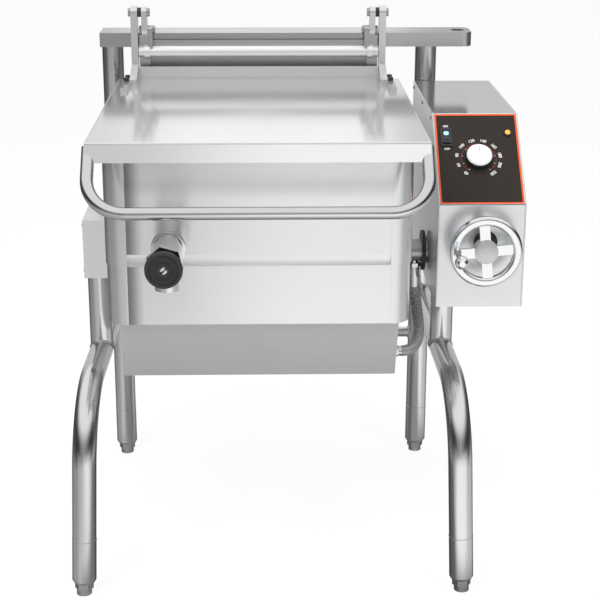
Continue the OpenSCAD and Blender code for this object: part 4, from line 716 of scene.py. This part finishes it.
rocker_tilt = np.radians(-8)
pivot_off, rocker_rise, rocker_half = 2, 2, 17


def on_rocker(points):
    """Points in mm in the rocker's own frame, whose origin is its pivot."""
    x, y, z = np.moveaxis(np.asarray(points, float), -1, 0)
    c, s = np.cos(rocker_tilt), np.sin(rocker_tilt)
    return on_panel(np.stack([switch_x + x, switch_up + y * c - z * s, pivot_off + y * s + z * c], -1))


rocker_slope = np.arctan2(rocker_rise, rocker_half)
slope_c, slope_s = np.cos(rocker_slope), np.sin(rocker_slope)
window_up = 9.5
window_place = [0, window_up, rocker_rise + window_up * rocker_rise / rocker_half]
window = pad(window_place, (1, 0, 0), (0, slope_c, slope_s), (0, -slope_s, slope_c), half_a=5.6, half_b=5.0,
             height=1.1, power=3.0)
blue = Finish(bpy.data.materials.new("lit_window"))
glow = blue.noise(300, 2.0)
blue.set(Base_Color=blue.between(glow, (0.25, 0.50, 0.95), (0.40, 0.66, 1.0)), Roughness=glow * 0.1 + 0.2,
         Emission_Color=blue.between(glow, (0.18, 0.42, 0.95), (0.32, 0.60, 1.0)), Emission_Strength=0.7)
points, faces = joined([metres(on_rocker(window))])
solid("rocker_window", points, faces, blue, "rocker")
grips = [pad([0, y, rocker_rise - y * rocker_rise / rocker_half], (1, 0, 0), (0, slope_c, -slope_s),
             (0, slope_s, slope_c), half_a=6.4, half_b=0.7, height=0.7) for y in (-7, -9.5, -12)]
points, faces = joined([metres(on_rocker(grip)) for grip in grips])
solid("rocker_grips", points, faces, black_plastic, "rocker")

amber = Finish(bpy.data.materials.new("amber_lens"))
facet = amber.noise(500, 2.0)
amber.set(Base_Color=amber.between(facet, (0.85, 0.30, 0.03), (0.95, 0.42, 0.06)),
          Roughness=facet * 0.1 + 0.18,
          Emission_Color=amber.between(facet, (0.95, 0.32, 0.03), (1.0, 0.50, 0.10)), Emission_Strength=0.75)
dress(amber, "indicator_lamp")
lens = [(0, 3), (4.6, 3), (5.4, 5.0), (5.2, 6.4), (4.0, 7.6), (2.2, 8.3), (0, 8.5)]
points, faces = joined([metres(turned(lens, on_panel([lamp_x, lamp_up, 0]), panel_out, 40))])
solid("lamp_lens", points, faces, amber, "stand")
bezel = [(5.6, 1.0), (8.6, 1.0), (8.8, 2.0), (8.4, 4.9), (7.4, 5.5), (5.8, 5.2)]
points, faces = joined([metres(turned(bezel, on_panel([lamp_x, lamp_up, 0]), panel_out, 48))], ring=True)
solid("lamp_bezel", points, faces, black_plastic, "stand")

# Handwheel
# A polished cast wheel with four flat spokes and a satin hub, on the worm's shaft. Its crank knob is turned
# from bright bar.

chrome = steel("polished_chrome", (0.88, 0.89, 0.90), 0.08, (60, 60, 60), cloud=9.0, depth=0.00001)
dress(chrome, "handwheel", "crank_knob")
worm_steel = steel("worm_steel", (0.50, 0.50, 0.51), 0.32, (300, 300, 300), cloud=40.0)
dress(worm_steel, "worm_shaft", "flange_bolts", "link_bolts", "hinge_pins", "valve_stem", "left_trunnion",
      "right_trunnion")
worm_x, worm_z, wheel_y = 440, 731, -290
satin = steel("satin_hub", (0.80, 0.80, 0.81), 0.48, (500, 500, 500), cloud=90.0)
hub_face = [(0, 7.5), (22.6, 7.5), (24.2, 8.2), (24.2, 8.9), (22.8, 9.6), (3.0, 9.6), (2.6, 9.2), (0, 9.2)]
points, faces = joined([metres(turned(hub_face, (worm_x, wheel_y, worm_z), (0, -1, 0), 64))])
solid("wheel_hub_face", points, faces, satin, "handwheel")

# Pan
# A deep vessel of ground stainless plate in a two-part jacket of brushed sheet. The brushing runs across the
# front, so that reflections smear upwards. A pressed bead runs round the joint of the two jackets, and a
# folded cover closes the heaters below.

vessel_steel = steel("ground_vessel", (0.76, 0.76, 0.76), 0.36, (40, 700, 700), cloud=6.0, depth=0.00008)
dress(vessel_steel, "pan_vessel")
pan_x, crease_x = -26, -287.5
jacket_sheet = steel("jacket_sheet", (0.92, 0.93, 0.94), 0.25, (3, 3, 900),
                     cloud=3.0, smear=0.93, smear_turn=0.25, mirror=0.93)
jacket_x, = jacket_sheet.parts(jacket_sheet.place(), 0)
# Painted shade: the jacket's colour is painted dark in a band just right of the left crease, fading out over
# the shade's width, for the shade along the corner.
crease, crease_edge, shade_width = metres([crease_x, 0, 0])[0], 0.0005, 0.036
right_of_crease = jacket_sheet.step(jacket_x, crease - crease_edge, crease + crease_edge)
painted_crease_shade = right_of_crease * (1 - jacket_sheet.step(jacket_x, crease, crease + shade_width))
brushed = jacket_sheet.noise(1.0, 3.0, (3, 3, 900))
jacket_sheet.set(Base_Color=jacket_sheet.between(painted_crease_shade * (brushed * 0.3 + 0.75), (0.90, 0.91, 0.92),
                                                 (0.20, 0.20, 0.21)))
dress(jacket_sheet, "upper_jacket", "lower_jacket")
cover_sheet = steel("cover_sheet", (0.80, 0.80, 0.81), 0.30, (2, 2, 900),
                    cloud=3.0, smear=0.5, smear_turn=0.25, mirror=0.6)
dress(cover_sheet, "heater_cover", "cover_plug")

element_coat = steel("element_sheath", (0.22, 0.21, 0.20), 0.45, (300, 300, 300), cloud=40.0)
dress(element_coat, "heating_elements")
board = Finish(bpy.data.materials.new("mineral_board"))
fibre = board.noise(250, 5.0, (1, 0.25, 1))
board.set(Base_Color=board.between(fibre, (0.46, 0.38, 0.26), (0.66, 0.58, 0.44)),
          Roughness=fibre * 0.1 + 0.85)
board.bumps(fibre, 0.002)
dress(board, "insulation_board")

# The bead swells with the cosine's square on the flat of the jacket's front, and fades out at its two ends.
bead_half, bead_mid, bead_reach, bead_out, fade = 261.5, 744.5, 12.5, 1.2, 8
bead_face_y, bead_back_y = -389.6, -388.6
height = np.linspace(-bead_reach, bead_reach, 15)
swell = bead_out * np.cos(np.pi * height / (2 * bead_reach)) ** 2
left_end = np.linspace(-bead_half, -bead_half + fade, 6)
across = np.concatenate([[-bead_half], left_end, np.linspace(-200, 200, 9), -left_end[::-1], [bead_half]])
taper = np.clip((bead_half - np.abs(across)) / fade, 0, 1) ** 0.5
front_y = bead_face_y - taper[:, None] * swell
bead = np.stack([np.broadcast_to(pan_x + across[:, None], front_y.shape), front_y,
                 np.broadcast_to(bead_mid + height, front_y.shape)], 2)
behind = bead[:, [-1, 0]] * [1, 0, 1] + [0, bead_back_y, 0]
bead = np.concatenate([bead, behind], 1)
bead[[0, -1]] = bead[[0, -1]].mean(1, keepdims=True)
bead_sheet = steel("bead_sheet", (0.91, 0.92, 0.93), 0.25, (3, 3, 900),
                   cloud=3.0, smear=0.93, smear_turn=0.25, mirror=0.93)
bead_z, = bead_sheet.parts(bead_sheet.place(), 2)
off_mid = (bead_z - bead_mid / 1000) * (1000 / bead_reach)
hollow = 1 - off_mid * off_mid
bead_sheet.bumps(0 - hollow * hollow, 0.0022)
points, faces = joined([metres(bead)])
solid("jacket_bead", points, faces, bead_sheet, "pan")

heater_half, heater_back_y, heater_screw_z = 283, 259, 598
heads = [turned(button_head, (pan_x + hand * heater_half, y, heater_screw_z), (hand, 0, 0))
         for hand in (-1, 1) for y in (-330, -120, 90, 235)]
heads += [turned(button_head, (pan_x + x, heater_back_y, heater_screw_z), (0, 1, 0))
          for x in (-240, -80, 80, 240)]
points, faces = joined(metres(heads))
solid("heater_cover_screws", points, faces, screw_steel, "pan")

# Conduit
# A grey ribbed jacket on a flexible steel conduit. It runs from the heater cover's side up to the hollow
# trunnion, between two hexagon fittings of bright steel, and tilts with the pan.

fitting_steel = steel("fitting_steel", (0.70, 0.70, 0.71), 0.20, (400, 400, 400), cloud=50.0)
dress(fitting_steel, "conduit_fittings")
conduit_grey = Finish(bpy.data.materials.new("conduit_jacket"))
dust = conduit_grey.noise(220, 4.0)
conduit_grey.set(Base_Color=conduit_grey.between(dust, (0.34, 0.345, 0.35), (0.46, 0.465, 0.47)),
                 Roughness=dust * 0.15 + 0.2, Metallic=0.4)
conduit_grey.bumps(dust, 0.0002)
dress(conduit_grey, "flexible_conduit")
conduit_r, start_pull, end_pull = 11, 62, 60
conduit_end = np.array(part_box("flexible_conduit")[1]) * 1000 - shift
run_start, run_end = np.array([277.0, -225, 492]), np.array([conduit_end[0] - conduit_r, -40, 579.5])
share = np.linspace(0, 1, 361)[:, None]
route = ((1 - share) ** 3 * run_start + 3 * (1 - share) ** 2 * share * (run_start + [start_pull, 0, 0])
         + 3 * (1 - share) * share ** 2 * (run_end - [0, 0, end_pull]) + share ** 3 * run_end)
along = np.gradient(route, axis=0)
along /= np.linalg.norm(along, axis=1)[:, None]
first_side = np.cross(along, [1.0, -1.0, 0.0])
first_side /= np.linalg.norm(first_side, axis=1)[:, None]
second_side = np.cross(along, first_side)
turn_angle = np.linspace(0, 2 * np.pi, 24, endpoint=False)
length = np.concatenate([[0], np.cumsum(np.linalg.norm(np.diff(route, axis=0), axis=1))])
rib_low, rib_depth, rib_pitch = 11.1, 0.9, 5.2
rib = rib_low + rib_depth * np.abs(np.sin(np.pi * length / rib_pitch))
rib[[0, -1]] = 0
around = (np.cos(turn_angle)[:, None] * first_side[:, None]
          + np.sin(turn_angle)[:, None] * second_side[:, None])
points, faces = joined([metres(route[:, None] + rib[:, None, None] * around)])
solid("conduit_ribs", points, faces, conduit_grey, "pan")

# Draw-off valve
# A bright cast body with a level inlet and an open outlet below, a large hexagon bonnet and a gland. The
# black moulded knob has a fluted edge, turned rings and a slotted screw in its hub.

valve_steel = steel("valve_steel", (0.76, 0.76, 0.77), 0.09, (120, 120, 120), cloud=25.0, depth=0.00006)
dress(valve_steel, "valve_body", "valve_bonnet")
valve_x, valve_z, front = pan_x - 178.5, 770.5, np.array([0, -1, 0])
flange = [(29.5, -1), (34.5, -1), (34.8, 0.8), (34, 2.8), (31, 3.6), (29.5, 3.6)]
seat_y, gland_y, knob_back = -392, -472, -533
points, faces = joined([metres(turned(flange, (valve_x, seat_y, valve_z), front, 64))], ring=True)
solid("valve_seat_ring", points, faces, valve_steel, "pan")
gland_nut = [(0, 35), (15.6, 35), (17.4, 36.5), (17.4, 40.5), (15.6, 42), (0, 42)]
points, faces = joined([metres(turned(gland_nut, (valve_x, gland_y, valve_z), front, 6))])
solid("gland_nut", points, faces, valve_steel, "pan", smooth=False)
knob_place = (valve_x, knob_back, valve_z)
grip = fluted(knob_place, front, inner=34.5, outer=36.6, depth=1.1, count=40, low=2.6, high=9.6, sides=400)
points, faces = joined([metres(grip)], ring=True)
solid("valve_knob_grip", points, faces, black_plastic, "valve_knob")
tube = np.linspace(0, 2 * np.pi, 12, endpoint=False)
ring_r, ring_off = 1.1, 9
ring_sections = [np.stack([r + ring_r * np.cos(tube), ring_off + ring_r * np.sin(tube)], 1)
                 for r in (18.5, 22.5, 26.5)]
rings = [turned(section, knob_place, front, 72) for section in ring_sections]
points, faces = joined(metres(rings), ring=True)
solid("valve_knob_rings", points, faces, black_plastic, "valve_knob")
hub_r, hub_off, hub_rim_r = 12.6, 12, 0.9
hub_rim = np.stack([hub_r + hub_rim_r * np.cos(tube), hub_off + hub_rim_r * np.sin(tube)], 1)
points, faces = joined([metres(turned(hub_rim, knob_place, front, 72))], ring=True)
solid("valve_hub_rim", points, faces, black_plastic, "valve_knob")
slot_turn = np.radians(38)
slot_way = np.array([np.cos(slot_turn), 0, np.sin(slot_turn)])
slot_side = np.array([-np.sin(slot_turn), 0, np.cos(slot_turn)])
screw_middle, half_off = np.array([valve_x, knob_back - hub_off, valve_z]), 3.7
halves = [pad(screw_middle + slot_side * half_off * hand, slot_way, slot_side, front, half_a=6.2, half_b=2.9,
              height=2.0, power=2.4) for hand in (-1, 1)]
points, faces = joined(metres(halves))
solid("valve_hub_screw", points, faces, chrome, "valve_knob")

# Lid
# One folded tray of brushed sheet with a rail at its rear, crowned a little over its middle. Its folds are
# small radii that catch the light. The bow handle is polished tube.

lid_sheet = steel("lid_sheet", (0.88, 0.89, 0.90), 0.13, (3, 600, 600),
                  cloud=3.0, smear=0.5, smear_turn=0.25, mirror=0.75)
lid_middle = metres([-26, -40, 0])
lid_x, lid_y, lid_z = lid_sheet.parts(lid_sheet.place(), 0, 1, 2)
off_x, off_y = (lid_x - lid_middle[0]) * 3.0, (lid_y - lid_middle[1]) * 2.8
crown = (0 - off_x * off_x - off_y * off_y) * lid_sheet.step(lid_z, 0.984, 0.986)
crown_depth = 0.002
lid_sheet.bumps(crown, crown_depth)
dress(lid_sheet, "lid")
dress(console_sheet, "lid_rail")
handle_steel = steel("polished_tube", (0.74, 0.74, 0.75), 0.09, (30, 300, 300), cloud=12.0, depth=0.00002)
dress(handle_steel, "lid_handle")
torsion_steel = steel("torsion_steel", (0.90, 0.90, 0.91), 0.36, (6, 300, 300), cloud=12.0, mirror=0.65)
dress(torsion_steel, "torsion_tube", "torsion_collars")

lid_left, lid_right, lid_front, lid_back, lid_top, lid_low = -358, 306, -420, 305, 987.5, 948.5
left_in, right_in, front_in = lid_left + fold_in, lid_right - fold_in, lid_front + fold_in
top_in, low_in = lid_top - fold_in, lid_low + fold_in
folds("lid_folds", [
    [(left_in, lid_back, top_in), (left_in, front_in, top_in), (right_in, front_in, top_in),
     (right_in, lid_back, top_in)],
    [(left_in, front_in, low_in), (left_in, front_in, top_in)],
    [(right_in, front_in, low_in), (right_in, front_in, top_in)],
], fold_r, lid_sheet, "lid")

# Lid hinge
# Bright plates and short links on pins, bolted to the lid and to straps on the pan's rear wall. A plate with
# a folded top joins the straps behind the torsion tube.

bracket_sheet = steel("bracket_sheet", (0.66, 0.66, 0.67), 0.30, (4, 500, 500),
                      cloud=4.0, smear=0.5, smear_turn=0.25)
hinge_steel = steel("hinge_plate", (0.78, 0.78, 0.79), 0.24, (300, 300, 30), cloud=20.0, mirror=0.8)
dress(hinge_steel, "hinge_arms", "hinge_links")
dress(bracket_sheet, "hinge_brackets")
dark_screw = steel("dark_screw", (0.16, 0.16, 0.17), 0.35, (300, 300, 300), cloud=60.0)
dress(dark_screw, "arm_bolts")
